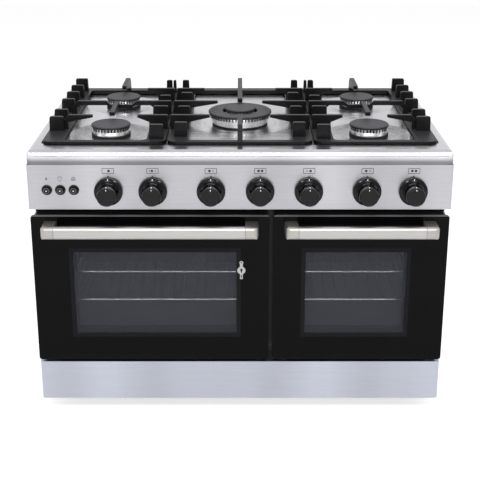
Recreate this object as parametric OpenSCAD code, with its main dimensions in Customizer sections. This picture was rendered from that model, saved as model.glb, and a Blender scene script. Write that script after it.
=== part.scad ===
// Range cooker: a five burner gas hob over two ovens side by side, in millimetres.
// The floor is z = 0. Seen from the front +X is to the right, and +Y runs to the back.
// The origin lies on the floor under the middle of the whole cooker, handles included.

/* [Overall] */
// Width of the hob and of the control panel
cooker_w = 900; // [780:5:1080]
// Depth from the face of the doors to the back
cooker_d = 600; // [520:5:720]
// Height of the feet that shows below the base
foot_h = 30; // [20:1:60]
// Thickness of the sheet steel
sheet_t = 1.5; // [1:0.1:2]
// How far the carcass stands in from the hob on each side
carcass_inset = 5; // [4:0.5:10]

/* [Levels] */
// Height of the plinth
plinth_h = 92; // [60:1:130]
// Gap between the plinth and the doors
door_low_gap = 6.5; // [6:0.5:12]
// Height of the doors
door_h = 342; // [320:1:420]
// Gap between the doors and the control panel
door_top_gap = 14; // [8:0.5:24]
// Height of the control panel
panel_h = 99; // [90:1:130]
// Seam between the control panel and the hob
hob_seam = 0.5; // [0.3:0.1:1]
// Height of the turned down edge of the hob
apron_h = 30; // [24:1:45]

/* [Hob] */
// Radius of the rolled edge of the hob
hob_edge_r = 13; // [6:0.5:15]
// Depth of the well that holds the pan supports
well_depth = 5; // [3:0.5:8]
// Flat rim left at each side of the well
rim_side = 22; // [18:1:40]
// Flat rim in front of the well
rim_front = 46; // [30:1:60]
// Flat rim behind the well
rim_back = 36; // [25:1:60]
// Corner radius of the well
well_r = 24; // [16:1:30]
// Depth of the pressed dish round each burner
dish_depth = 4; // [2:0.5:6]

/* [Burners] */
// Distance of the outer burners from the side of the hob
burner_side = 162; // [150:1:190]
// Distance of the front burners from the front
burner_front = 158; // [150:1:175]
// Distance of the rear burners from the back
burner_back = 179; // [165:1:190]
// Distance of the wok burner from the front
wok_front = 262; // [240:1:290]
// Diameter of the front burner caps
front_cap_d = 87; // [70:1:100]
// Diameter of the rear burner caps
rear_cap_d = 83; // [66:1:96]
// Outer diameter of the ring cap of the wok burner
wok_cap_d = 146; // [130:1:160]
// Diameter of the inner cap of the wok burner
wok_inner_cap_d = 68; // [56:1:72]
// Teeth in the crown of an outer burner
crown_teeth = 36; // [20:1:48]
// Teeth in the outer crown of the wok burner
wok_teeth = 60; // [40:1:72]
// Height of the teeth of a crown
tooth_h = 7; // [4:0.5:9]
// Thickness of the burner caps
cap_t = 5.5; // [4:0.5:8]

/* [Pan supports] */
// Height of the top of the pan supports over the rim of the hob
support_top = 38; // [34:1:48]
// Height of the low rail over the rim of the hob
rail_top = 6; // [4:0.5:10]
// Width of the centre pan support
centre_support_w = 312; // [290:1:340]
// Gap between two pan supports
support_gap = 4; // [2:0.5:8]
// Gap between the pan supports and the wall of the well
well_gap = 4; // [2:0.5:8]
// Width of the side rails of a pan support
side_rail_w = 42; // [30:1:46]
// Width of the front rail of a pan support
front_rail_w = 15; // [10:1:20]
// Width of the rear rail of a pan support
rear_rail_w = 26; // [14:1:30]
// Thickness of the fingers and posts
finger_t = 9; // [6:0.5:12]
// Width of a post, seen from the front
post_w = 32; // [20:1:36]

/* [Control panel] */
// Height of the knob axes over the bottom of the panel
knob_rise = 41; // [38:0.5:50]
// Height of the buttons over the bottom of the panel
button_rise = 43.5; // [30:0.5:60]
// Distance of the first knob from the last button
first_knob_gap = 73.5; // [60:0.5:90]
// Distance of the last knob from the right end of the panel
last_knob_gap = 83.5; // [60:0.5:100]
// Distance of the first button from the left end of the panel
button_end_gap = 41; // [25:0.5:50]
// Distance between two buttons
button_pitch = 28.6; // [26:0.1:34]
// Diameter of the skirt of a knob
knob_d = 60.5; // [50:0.5:64]
// Diameter of the front face of a knob
knob_face_d = 39; // [30:0.5:42]
// Distance of the front face of a knob from the panel
knob_proud = 45; // [34:0.5:48]
// Travel of a knob that is pushed in
knob_travel = 3; // [2:0.5:3]
// Diameter of the tap spindles
spindle_d = 8; // [6:0.5:10]
// Diameter of the button bezels
bezel_d = 23; // [18:0.5:25]
// Diameter of the buttons
button_d = 16; // [12:0.5:18]
// Travel of a button
button_travel = 3.5; // [2:0.5:4]

/* [Doors] */
// Width of the right door
right_door_w = 376.5; // [340:0.5:400]
// How far the doors stand in from the ends of the panel
door_inset = 2; // [1:0.5:6]
// Gap between the two doors
door_split = 8; // [4:0.5:12]
// Thickness of the outer glass
outer_glass_t = 5; // [4:0.5:6]
// Thickness of the inner glass
inner_glass_t = 4; // [3:0.5:4]
// Thickness of a whole door
door_t = 38; // [36:0.5:42]
// Distance of the window from the outer edge of its door
window_outer = 78; // [60:1:90]
// Distance of the window from the inner edge of its door
window_inner = 62; // [50:1:80]
// Distance of the window from the top of the door
window_top = 75; // [70:1:90]
// Distance of the window from the bottom of the door
window_bottom = 56; // [50:1:80]
// Height of the hinge pins over the bottom of the door
pivot_rise = 14; // [12:0.5:15]
// Distance of the hinge pins behind the face of the door
pivot_back = 13; // [12:0.5:14]
// Diameter of the hinge pins
pin_d = 8; // [6:0.5:9]

/* [Handles] */
// How far the handles stand out from the glass
handle_proud = 50; // [42:0.5:60]
// Height of the handle bar
handle_h = 28; // [20:0.5:32]
// Depth of the handle bar
handle_t = 16; // [12:0.5:18]
// Width of the elbow at each end of a handle
handle_end_w = 28; // [24:0.5:34]
// Height of an elbow where it meets the glass
handle_foot_h = 23; // [18:0.5:32]
// Distance of the middle of the handle from the top of the door
handle_drop = 24; // [20:0.5:40]
// Distance of the handles from the outer edges of the doors
handle_outer = 27.5; // [15:0.5:60]
// Distance of the handles from the inner edges of the doors
handle_inner = 24; // [15:0.5:60]

/* [Ovens] */
// Distance of the oven from the outer edge of its door
oven_outer = 33; // [30:1:50]
// Distance of the oven from the inner edge of its door
oven_inner = 33; // [28:1:50]
// Distance of the roof of the oven from the top of the door
oven_top = 45; // [40:1:70]
// Distance of the floor of the oven from the bottom of the door
oven_floor = 37; // [36:1:50]
// Depth of the ovens
oven_d = 430; // [380:5:445]
// Gap between the doors and the face of the carcass
face_gap = 6; // [5:0.5:8]
// Height of the lower rack over the floor of the oven
rack_low = 79.5; // [60:0.5:100]
// Height between two shelf runners
runner_step = 34.2; // [30:0.1:40]
// Pitch of the rack wires
wire_pitch = 24; // [18:1:32]

/* [Hidden] */
$fn = 48;

eps = 0.01;
rest_gap = 0.3;
run_gap = 0.05;

// The face of the doors and of the panel, and the back, either side of the origin
front_y = -(cooker_d + handle_proud) / 2 + handle_proud;
half_w = cooker_w / 2;

// Levels, from the floor up
base_z = foot_h;
plinth_top = base_z + plinth_h;
door_z = plinth_top + door_low_gap;
door_top = door_z + door_h;
panel_z = door_top + door_top_gap;
panel_top = panel_z + panel_h;
hob_z = panel_top + hob_seam + apron_h;
knob_z = panel_z + knob_rise;
button_z = panel_z + button_rise;

// The carcass
side_x = half_w - carcass_inset;
inner_x = side_x - sheet_t;
face_y = door_t + face_gap;
lining_y = face_y + sheet_t;
back_y = cooker_d - 25;
back_x = side_x - 24;
carcass_y1 = cooker_d - carcass_inset - 2;
side_top = hob_z - well_depth - sheet_t;
frame_top = panel_z + 12;
flange_w = 16;
flange_x = side_x - flange_w;

// The well and the burners, from the face and from the rim of the hob
well_x = half_w - rim_side;
well_y0 = rim_front;
well_y1 = cooker_d - rim_back;
well_z = -well_depth;
dish_z = well_z - dish_depth;
burner_x = half_w - burner_side;
rear_y = cooker_d - burner_back;
burners = [[-burner_x, burner_front, front_cap_d], [-burner_x, rear_y, rear_cap_d],
    [burner_x, burner_front, front_cap_d], [burner_x, rear_y, rear_cap_d]];
dish_rise = 36;
floor_margin = 12;
cup_hole_d = 60;
wok_hole_d = 86;
cup_flange_t = 6;
head_low_t = 9;
head_z = dish_z + cup_flange_t;
cap_z = head_z + head_low_t + tooth_h;
wok_flange_t = 3.5;
wok_flange_in = 18;
wok_head_z = dish_z + wok_flange_t;
wok_low_t = 15.5;
wok_cap_z = wok_head_z + wok_low_t + tooth_h;
wok_inner_z = wok_cap_z + 6;
wok_ring_bore = 80;
crown_in = 1;
crown_wall = 16;

// Pan supports
support_y0 = well_y0 + well_gap;
support_y1 = well_y1 - well_gap;
support_z0 = well_z + 2;
support_len = support_y1 - support_y0;
bridge_y = (burner_front + rear_y) / 2;
rail_r = well_r - well_gap;
// How far the tips of the fingers stay from the axis of an outer burner, on the side and on the middle
outer_reach = 40;
inner_reach = 60;
finger_tip_h = 5.5;
long_tip_h = 9;
root_h = 16;
bar_h = 10;
dip = 9;
dip_h = 8;
dip_x = [-26, -16, 34, 46];
shoulder = 14;
edge_bevel = 1.5;
foot_out = 30;
outer_post_rows = [0.182, 0.312, 0.509, 0.654, 0.794, 0.942];
// Posts on the inner rails: distance from the face, distance of the middle from the edge, and width
outer_inner_posts = [[support_y0 + 25, 20.5, 31], [burner_front + 82, 22.5, 36], [bridge_y + 57, 19, 27],
    [support_y1 - 48, 19.5, 16], [support_y1 - 48, 6, 9]];
centre_posts = [[support_y0 + 44, 27.5, 29], [burner_front + 80, 27.5, 29], [bridge_y + 85.5, 27.5, 29],
    [support_y1 - 48, 18, 18]];
centre_reach = [[burner_front, 67], [bridge_y, 52], [rear_y, 87]];

// Control panel
knob_x0 = -half_w + button_end_gap + 2 * button_pitch + first_knob_gap;
knob_x1 = half_w - last_knob_gap;
knob_steps = [0, 94, 217, 321, 424, 547, 645];
button_xs = [for (i = [0:2]) -half_w + button_end_gap + i * button_pitch];
knob_xs = [for (s = knob_steps) knob_x0 + (knob_x1 - knob_x0) * s / knob_steps[6]];
panel_r = 4;
panel_rim = 20;
bezel_t = 3.5;
spindle_hole_d = spindle_d + 5;
tap_y = 16;
tap_d = 24;
rail_y = 72;
rail_d = 20;
inlet_d = 21;
inlet_x = back_x - inlet_d / 2 - 12;
feed_r = 8;

// Doors: left edge, right edge, left and right handle gap, and left and right window gap
door_x1 = half_w - door_inset;
split_x = door_x1 - right_door_w;
left_door = [-door_x1, split_x - door_split, handle_outer, handle_inner, window_outer, window_inner,
    oven_outer, oven_inner];
right_door = [split_x, door_x1, handle_inner, handle_outer, window_inner, window_outer,
    oven_inner, oven_outer];
door_r = 6;
pan_inset = 3;
pan_back = door_t;
window_border = 10;
pivot_z = door_z + pivot_rise;
arm_t = 6;
arm_h = 12;
ear_t = 4;
hinge_inset = 26;
oven_z0 = door_z + oven_floor;
oven_z1 = door_top - oven_top;
oven_y1 = lining_y + oven_d;
oven_r = 14;
seal_w = 8;
// The openings of the front frame stand outside the mouths of the ovens and have sharper corners
frame_lip = 2;
frame_r = 4;
rod_r = 3;
wire_r = 1.5;
runner_r = 2;
ladder_r = 2.5;
runner_x = 12;
ladder_x = 5;
rack_y0 = face_y + 22;
rack_y1 = oven_y1 - 25;
handle_z = door_top - handle_drop;
elbow_r = 14;
elbow_corner_r = 8;
hinge_xs = [for (door = [left_door, right_door]) for (x = [door[0] + hinge_inset, door[1] - hinge_inset]) x];

// ---- Shapes that repeat ----

module box(a, b) {
    translate(a) cube(b - a);
}

module rod_x(x0, x1, y, z, r) {
    translate([x0, y, z]) rotate([0, 90, 0]) cylinder(h = x1 - x0, r = r);
}

module rod_y(x, y0, y1, z, r) {
    translate([x, y0, z]) rotate([-90, 0, 0]) cylinder(h = y1 - y0, r = r);
}

module rod_z(x, y, z0, z1, r) {
    translate([x, y, z0]) cylinder(h = z1 - z0, r = r);
}

module rounded(a, b, r) {
    translate([a[0] + r, a[1]]) square([b[0] - a[0] - 2 * r, b[1] - a[1]]);
    translate([a[0], a[1] + r]) square([b[0] - a[0], b[1] - a[1] - 2 * r]);
    for (x = [a[0] + r, b[0] - r], y = [a[1] + r, b[1] - r])
        translate([x, y]) circle(r);
}

// An upright plate drawn as (x, z), from y0 backwards
module upright(y0, t) {
    translate([0, y0 + t, 0]) rotate([90, 0, 0]) linear_extrude(t) children();
}

// A profile drawn as (y, z), as thick as t to either side of x in all
module rib_yz(x, t) {
    translate([x - t / 2, 0, 0]) rotate([90, 0, 90]) linear_extrude(t) children();
}

// A profile drawn as (x, z), centred on y
module rib_xz(y, t) {
    upright(y - t / 2, t) children();
}

module at_face() {
    translate([0, front_y, 0]) children();
}

module at_hob() {
    translate([0, front_y, hob_z]) children();
}

// ---- Hob ----

// A block whose top edges are rolled with radius r, from y0 to y1 and from z0 up to z1
module rolled_block(hw, y0, y1, z0, z1, r) {
    intersection() {
        translate([-hw, 0, 0]) rotate([90, 0, 90]) linear_extrude(2 * hw) {
            translate([y0, z0]) square([y1 - y0, z1 - z0 - r]);
            translate([y0 + r, z0]) square([y1 - y0 - 2 * r, z1 - z0]);
            for (y = [y0 + r, y1 - r]) translate([y, z1 - r]) circle(r);
        }
        upright(y0, y1 - y0) {
            translate([-hw, z0]) square([2 * hw, z1 - z0 - r]);
            translate([-hw + r, z0]) square([2 * hw - 2 * r, z1 - z0]);
            for (x = [-hw + r, hw - r]) translate([x, z1 - r]) circle(r);
        }
        translate([0, 0, z0]) linear_extrude(z1 - z0) rounded([-hw, y0], [hw, y1], r);
    }
}

// The well and the dishes; grow is the sheet they leave round them seen from below
module hob_pockets(grow) {
    translate([0, 0, well_z - grow]) linear_extrude(well_depth + grow + 1)
        rounded([-well_x - grow, well_y0 - grow], [well_x + grow, well_y1 + grow], well_r + grow);
    for (b = concat(burners, [[0, wok_front, wok_cap_d]]))
        translate([b[0], b[1], dish_z - grow])
            cylinder(h = dish_depth + eps, r1 = b[2] / 2 + floor_margin, r2 = b[2] / 2 + floor_margin + dish_rise);
}

module hob_top() {
    color("lightgray") at_hob() difference() {
        rolled_block(half_w, 0, cooker_d, -apron_h, 0, hob_edge_r);
        difference() {
            rolled_block(half_w - sheet_t, sheet_t, cooker_d - sheet_t, -apron_h - 1, -sheet_t,
                hob_edge_r - sheet_t);
            hob_pockets(sheet_t);
        }
        hob_pockets(0);
        for (b = burners) rod_z(b[0], b[1], dish_z - 2 * sheet_t, 0, cup_hole_d / 2);
        rod_z(0, wok_front, dish_z - 2 * sheet_t, 0, wok_hole_d / 2);
    }
}

// ---- Burners ----

// A crown of n teeth round a solid core, with open slots between the teeth
module crown(n, r_out, r_core, h) {
    linear_extrude(h) polygon([for (i = [0:n - 1], k = [0:3])
        let (a = (i + [0, 0.55, 0.55, 1][k]) * 360 / n, r = k < 2 ? r_out : r_core)
        [r * cos(a), r * sin(a)]]);
}

// A cup through the hob with its flange, jet holder and gas elbow, and an electrode behind the cap
module burner_cup(d, hole_d, cap_d, flange_t) {
    spark_y = cap_d / 2 + 5.5;
    difference() {
        union() {
            cylinder(h = flange_t, r = d / 2);
            translate([0, 0, -34]) cylinder(h = 34 + eps, r = hole_d / 2 - 1);
            translate([0, 0, -46]) cylinder(h = 13, r = 11);
            rod_y(0, -hole_d / 2 - 6, 0, -40, 6);
            rod_z(0, spark_y, 0, flange_t, 6);
            box([-6, d / 2 - 4, 0], [6, spark_y, flange_t]);
        }
        translate([0, 0, -30]) cylinder(h = 40, r = hole_d / 2 - 4);
    }
    rod_z(0, spark_y, flange_t - eps, flange_t + 11, 2.4);
    rod_z(0, spark_y, flange_t, flange_t + 14, 0.8);
}

module burner_cups() {
    color("dimgray") at_hob() {
        for (b = burners) translate([b[0], b[1], dish_z]) burner_cup(b[2], cup_hole_d, b[2], cup_flange_t);
        translate([0, wok_front, dish_z]) burner_cup(wok_cap_d - wok_flange_in, wok_hole_d, wok_cap_d, wok_flange_t);
    }
}

module burner_head(i) {
    b = burners[i];
    r = b[2] / 2 - crown_in;
    color("silver") at_hob() translate([b[0], b[1], head_z]) difference() {
        union() {
            cylinder(h = 3, r = r - 1.5);
            translate([0, 0, 3]) cylinder(h = head_low_t - 3, r1 = r - 1.5, r2 = r);
            translate([0, 0, head_low_t - eps]) crown(crown_teeth, r - 0.4, r - 5, tooth_h + eps);
        }
        translate([0, 0, -1]) cylinder(h = head_low_t + tooth_h + 2, r = r - crown_wall);
    }
}

module wok_burner_head() {
    r = wok_cap_d / 2 - 2 * crown_in;
    inner_r = wok_inner_cap_d / 2 - crown_in;
    inner_z = wok_inner_z - wok_head_z - tooth_h;
    color("silver") at_hob() translate([0, wok_front, wok_head_z]) difference() {
        union() {
            difference() {
                union() {
                    cylinder(h = wok_low_t, r1 = r - 8, r2 = r - 1);
                    translate([0, 0, wok_low_t - eps]) crown(wok_teeth, r - 0.4, r - 5, tooth_h + eps);
                }
                translate([0, 0, 4]) cylinder(h = wok_low_t + tooth_h, r = wok_ring_bore / 2 + 4);
            }
            translate([0, 0, 4 - eps]) cylinder(h = inner_z - 8 + eps, r = inner_r - 5);
            translate([0, 0, inner_z - 4]) cylinder(h = 4, r1 = inner_r - 5, r2 = inner_r);
            translate([0, 0, inner_z - eps]) crown(wok_teeth / 2, inner_r - 0.4, inner_r - 4, tooth_h + eps);
        }
        translate([0, 0, -1]) cylinder(h = inner_z + tooth_h + 2, r = inner_r - crown_wall);
    }
}

// A disc with bevelled edges and a spigot below that centres it in its crown
module burner_cap(d) {
    rotate_extrude() polygon([[0, 0], [d / 2 - 1, 0], [d / 2, 1.2], [d / 2, cap_t - 1.8], [d / 2 - 2, cap_t],
        [0, cap_t]]);
    translate([0, 0, -3]) cylinder(h = 3 + eps, r = d / 2 - crown_in - crown_wall - rest_gap);
}

module burner_caps() {
    color("darkslategray") at_hob()
        for (b = burners) translate([b[0], b[1], cap_z]) burner_cap(b[2]);
}

module wok_burner_caps() {
    color("darkslategray") at_hob() translate([0, wok_front, 0]) {
        translate([0, 0, wok_cap_z]) rotate_extrude() polygon([[wok_ring_bore / 2, 0], [wok_cap_d / 2 - 1, 0],
            [wok_cap_d / 2, 1.2], [wok_cap_d / 2, cap_t - 1.8], [wok_cap_d / 2 - 2, cap_t],
            [wok_ring_bore / 2 + 1.5, cap_t], [wok_ring_bore / 2, cap_t - 1.5]]);
        translate([0, 0, wok_inner_z]) burner_cap(wok_inner_cap_d);
    }
}

// ---- Pan supports ----

module support_rail(x0, x1) {
    translate([0, 0, support_z0]) linear_extrude(rail_top - support_z0) difference() {
        rounded([x0, support_y0], [x1, support_y1], rail_r);
        rounded([x0 + side_rail_w, support_y0 + front_rail_w], [x1 - side_rail_w, support_y1 - rear_rail_w], 10);
    }
    for (x = [x0 + 12, x1 - 12], y = [support_y0 + 12, support_y1 - 12])
        rod_z(x, y, well_z + rest_gap, support_z0 + eps, 5);
}

// A plate that stands on the side rail, faces forwards and narrows a little to the top
module support_post(x, y, w) {
    rib_xz(y, finger_t) polygon([[x - w / 2, rail_top - eps], [x + w / 2, rail_top - eps],
        [x + w / 2 - 1, support_top - 2], [x + w / 2 - 3, support_top], [x - w / 2 + 3, support_top],
        [x - w / 2 + 1, support_top - 2]]);
}

// A finger along x: a leg on the rail from foot to leg, with a slope of s over the foot, then a thinning arm
module finger_x(foot, leg, slope, tip, y) {
    s = sign(tip - foot);
    rib_xz(y, finger_t) polygon([[foot, rail_top - eps], [foot, support_top - slope], [foot + s * slope, support_top],
        [tip - s * edge_bevel, support_top], [tip, support_top - edge_bevel], [tip, support_top - finger_tip_h],
        [leg, support_top - root_h], [leg, rail_top - eps]]);
}

// A finger along y that rises from a rail, from its root to its tip
module finger_y(root, tip, x) {
    s = sign(tip - root);
    rib_yz(x, finger_t + 2) polygon([[root, rail_top - eps], [root + s * 8, support_top - 8],
        [root + s * 22, support_top], [tip - s * edge_bevel, support_top], [tip, support_top - edge_bevel],
        [tip, support_top - long_tip_h + 2], [tip - s * 2, support_top - long_tip_h],
        [root + s * 30, rail_top + 8], [root + s * 16, rail_top - eps]]);
}

// The bar between the two burners of one side, on a leg at each end, dipped behind the front burner
module bridge(foot, inner_foot, inner_leg, edge) {
    dips = [for (d = dip_x) d - burner_x];
    rib_xz(bridge_y, finger_t) polygon([[foot, rail_top - eps], [foot, support_top - shoulder],
        [foot + shoulder, support_top], [dips[0], support_top], [dips[1], support_top - dip],
        [dips[2], support_top - dip], [dips[3], support_top], [edge - edge_bevel, support_top],
        [edge, support_top - edge_bevel], [edge, rail_top - eps], [inner_leg, rail_top - eps],
        [inner_leg, support_top - root_h], [inner_leg - dip_h, support_top - bar_h],
        [dips[3] - 2, support_top - bar_h], [dips[2] - 2, support_top - dip - dip_h],
        [dips[1] + 2, support_top - dip - dip_h], [dips[0] + 2, support_top - bar_h],
        [inner_foot + dip_h, support_top - bar_h], [inner_foot, support_top - root_h],
        [inner_foot, rail_top - eps]]);
}

// The pan support over the two left burners; the right one is its mirror image
module outer_support() {
    x0 = -well_x + well_gap;
    x1 = -centre_support_w / 2 - support_gap;
    leg = x1 - side_rail_w;
    support_rail(x0, x1);
    for (s = outer_post_rows)
        support_post(x0 + 2 + post_w / 2, support_y0 + s * support_len, post_w);
    for (p = outer_inner_posts)
        support_post(x1 - p[1], p[0], p[2]);
    finger_x(x0 + foot_out, x0 + side_rail_w, shoulder, -burner_x - outer_reach, burner_front);
    for (y = [burner_front, rear_y])
        finger_x(x1 - 1, leg, edge_bevel, -burner_x + inner_reach, y);
    bridge(x0 + foot_out, x0 + side_rail_w, leg, x1 - 1);
    // The finger from the bridge to the front burner
    rib_yz(-burner_x, finger_t + 2) polygon([[bridge_y, support_top - dip - dip_h], [bridge_y, support_top - 6],
        [bridge_y - 6, support_top], [burner_front + 23.5, support_top],
        [burner_front + 22, support_top - edge_bevel], [burner_front + 22, support_top - 7],
        [burner_front + 24, support_top - long_tip_h], [bridge_y - 24, support_top - 15]]);
    finger_y(support_y1, rear_y + 22, -burner_x);
}

module pan_support_left() {
    color("dimgray") at_hob() outer_support();
}

module pan_support_right() {
    color("dimgray") at_hob() mirror([1, 0, 0]) outer_support();
}

module pan_support_centre() {
    x1 = centre_support_w / 2;
    color("dimgray") at_hob() {
        support_rail(-x1, x1);
        for (side = [0, 1]) mirror([side, 0, 0]) {
            for (p = centre_posts) support_post(-x1 + p[1], p[0], p[2]);
            for (f = centre_reach) finger_x(-x1 + 1, -x1 + side_rail_w, edge_bevel, -f[1], f[0]);
        }
        finger_y(support_y0, wok_front - 98, 0);
        finger_y(support_y1, wok_front + 48, 0);
    }
}

// ---- Control panel ----

module control_panel() {
    color("gainsboro") at_face() difference() {
        translate([0, 0, panel_z]) linear_extrude(panel_h)
            rounded([-half_w, 0], [half_w, face_y], panel_r);
        translate([0, 0, panel_z + sheet_t]) linear_extrude(panel_h - 2 * sheet_t)
            rounded([-half_w + sheet_t, sheet_t], [half_w - sheet_t, face_y - sheet_t], panel_r - sheet_t);
        upright(face_y - sheet_t - 1, sheet_t + 2)
            rounded([-half_w + panel_rim, panel_z + 10], [half_w - panel_rim, panel_top - 10], 5);
        for (x = knob_xs) rod_y(x, -1, sheet_t + 1, knob_z, spindle_hole_d / 2);
        for (x = button_xs) rod_y(x, -1, sheet_t + 1, button_z, button_d / 2 + 2);
    }
}

// A bezel sits on the face of the panel, and its sleeve guides the button
module button_bezels() {
    color("black") at_face() for (x = button_xs) translate([x, 0, button_z]) rotate([-90, 0, 0]) difference() {
        union() {
            translate([0, 0, -bezel_t]) cylinder(h = bezel_t, r1 = bezel_d / 2 - 1.2, r2 = bezel_d / 2);
            translate([0, 0, -eps]) cylinder(h = 12, r = button_d / 2 + 1.9);
        }
        translate([0, 0, -bezel_t - 1]) cylinder(h = 20, r = button_d / 2 + run_gap);
    }
}

// The button stands out of its bezel by its travel and a little more, with a shallow ring in its face
module button(i) {
    front = -bezel_t - button_travel - 1.2;
    color("black") at_face() translate([button_xs[i], 0, button_z]) rotate([-90, 0, 0]) rotate_extrude()
        polygon([[0, front], [3.4, front + 0.2], [3.8, front + 0.8], [4.6, front + 0.8], [5, front + 0.3],
            [button_d / 2 - 1, front + 0.8], [button_d / 2, front + 1.8], [button_d / 2, 10], [0, 10]]);
}

// The knob: a skirt with a rolled edge, a waist and a long grip with a sunk face, turned about its spindle
module knob(i) {
    skirt = knob_d / 2;
    waist = skirt - 7.6;
    face = knob_face_d / 2;
    grip = face + 1.2;
    back = knob_travel + 0.8;
    color("black") at_face() translate([knob_xs[i], 0, knob_z]) rotate([90, 0, 0]) difference() {
        rotate_extrude() polygon([[0, back + 2], [skirt - 3, back + 2], [skirt - 2.4, back], [skirt - 0.6, back],
            [skirt, back + 0.8], [skirt, back + 3.6], [skirt - 0.8, back + 5], [skirt - 2.6, back + 5.8],
            [waist + 1, back + 7.2], [waist + 0.2, back + 7.2], [waist, back + 10.2], [waist - 0.7, back + 11.6],
            [grip + 0.2, back + 12.4], [grip, back + 14], [face + 0.9, knob_proud - 5],
            [face + 0.5, knob_proud - 2], [face - 0.3, knob_proud - 0.7], [face - 1.6, knob_proud],
            [face - 2.4, knob_proud], [face - 3.2, knob_proud - 0.6], [0, knob_proud - 0.6]]);
        translate([0, 0, -1]) cylinder(h = knob_proud - 11, r = spindle_d / 2 + run_gap);
        // Index groove along the top of the grip
        translate([-0.7, face - 6, knob_proud - 1.2]) cube([1.4, 12, 3]);
    }
}

module tap_spindle(i) {
    color("silver") at_face() translate([knob_xs[i], 0, knob_z]) rotate([-90, 0, 0]) {
        translate([0, 0, -knob_proud + 13]) cylinder(h = knob_proud - 13 + tap_y + 34, r = spindle_d / 2);
        translate([0, 0, tap_y - knob_travel - 2.5]) cylinder(h = 2, r = spindle_d / 2 + 2.5);
    }
}

// The gas rail behind the panel, its taps, and the pipe to the inlet at the back
module gas_rail() {
    color("goldenrod") at_face() difference() {
        union() {
            rod_x(-inner_x, inner_x, rail_y, knob_z, rail_d / 2);
            for (x = knob_xs) {
                rod_y(x, tap_y, rail_y - 10, knob_z, tap_d / 2);
                box([x - 9, tap_y + 6, knob_z - 18], [x + 9, tap_y + 36, knob_z]);
                rod_y(x, rail_y, rail_y + 24, knob_z, 5);
                rod_y(x, rail_y - 11, rail_y, knob_z, 9);
            }
            rod_y(inlet_x, rail_y, back_y + 4, knob_z, feed_r);
            rod_y(inlet_x, back_y + 3, cooker_d - 3, knob_z, inlet_d / 2);
            for (x = [-inner_x + 2, inner_x - 2])
                rod_x(x - 2, x + 2, rail_y, knob_z, 17);
        }
        for (x = knob_xs) rod_y(x, tap_y - 1, rail_y - 14, knob_z, spindle_d / 2 + run_gap);
        rod_y(inlet_x, back_y - 30, cooker_d, knob_z, feed_r - 2);
    }
}

// ---- Carcass ----

module side_panel(s) {
    color("gray") at_face() mirror([s < 0 ? 0 : 1, 0, 0]) {
        translate([0, 0, base_z]) linear_extrude(side_top - base_z) polygon([[-side_x, face_y],
            [-inner_x, face_y], [-inner_x, lining_y], [-flange_x, lining_y], [-flange_x, lining_y + sheet_t],
            [-inner_x, lining_y + sheet_t], [-inner_x, carcass_y1 - sheet_t], [-back_x, carcass_y1 - sheet_t],
            [-back_x, carcass_y1], [-side_x, carcass_y1]]);
        box([-side_x, face_y, side_top - sheet_t], [-side_x + 40, carcass_y1, side_top]);
    }
}

module side_panel_left() {
    side_panel(-1);
}

module side_panel_right() {
    side_panel(1);
}

module back_panel() {
    color("gray") at_face() difference() {
        union() {
            upright(back_y, sheet_t) translate([-inner_x, base_z]) square([2 * inner_x, side_top - base_z - sheet_t]);
            for (side = [0, 1]) mirror([side, 0, 0])
                box([-inner_x, back_y, base_z], [-inner_x + sheet_t, carcass_y1 - sheet_t, side_top - sheet_t]);
        }
        rod_y(inlet_x, back_y - 1, back_y + 3, knob_z, feed_r + rest_gap);
        for (x = [-300:30:300]) for (z = [base_z + 60, knob_z + 10])
            upright(back_y - 1, sheet_t + 2) rounded([x - 4, z - 20], [x + 4, z + 20], 3.9);
    }
}

module base_tray() {
    color("gray") at_face() difference() {
        union() {
            box([-inner_x, lining_y + sheet_t, base_z], [inner_x, back_y, base_z + sheet_t]);
            box([-flange_x, lining_y, base_z], [flange_x, back_y, base_z + sheet_t]);
            for (y = [lining_y, back_y - sheet_t]) box([-flange_x, y, base_z], [flange_x, y + sheet_t, base_z + 25]);
        }
        for (x = [-340:40:340]) for (y = [160, cooker_d - 150])
            translate([0, 0, base_z - 1]) linear_extrude(sheet_t + 2) rounded([x - 4, y - 30], [x + 4, y + 30], 3.9);
    }
}

module oven_outline(door, grow) {
    rounded([door[0] + door[6] - grow, oven_z0 - grow], [door[1] - door[7] + grow, oven_z1 + grow], oven_r + grow);
}

module front_frame() {
    color("black") at_face() {
        upright(face_y, sheet_t) difference() {
            translate([-inner_x, base_z]) square([2 * inner_x, frame_top - base_z]);
            for (door = [left_door, right_door])
                rounded([door[0] + door[6] - frame_lip, oven_z0 - frame_lip],
                    [door[1] - door[7] + frame_lip, oven_z1 + frame_lip], frame_r);
        }
        box([-flange_x, lining_y - eps, frame_top - sheet_t], [flange_x, lining_y + 18, frame_top]);
        box([split_x - door_split / 2 - 6, lining_y - eps, base_z + 25],
            [split_x - door_split / 2 + 6, lining_y + 14, frame_top - sheet_t + eps]);
    }
}

module plinth() {
    color("lightgray") at_face() difference() {
        translate([0, 0, base_z]) linear_extrude(plinth_h)
            rounded([-side_x - 1.5, 2], [side_x + 1.5, face_y], 3);
        translate([0, 0, base_z - 1]) linear_extrude(plinth_h - sheet_t + 1)
            rounded([-side_x - 1.5 + sheet_t, 2 + sheet_t], [side_x + 1.5 - sheet_t, face_y + 5], 1.5);
    }
}

module feet() {
    color("black") at_face()
        for (x = [-side_x + 55, side_x - 55], y = [face_y + 46, cooker_d - 60]) {
            rod_z(x, y, 0, 7, 20);
            rod_z(x, y, 7 - eps, 11, 13);
            rod_z(x, y, 7, base_z, 6);
            translate([x, y, 13]) cylinder(h = 6, r = 10, $fn = 6);
        }
}

// ---- Ovens ----

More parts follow.
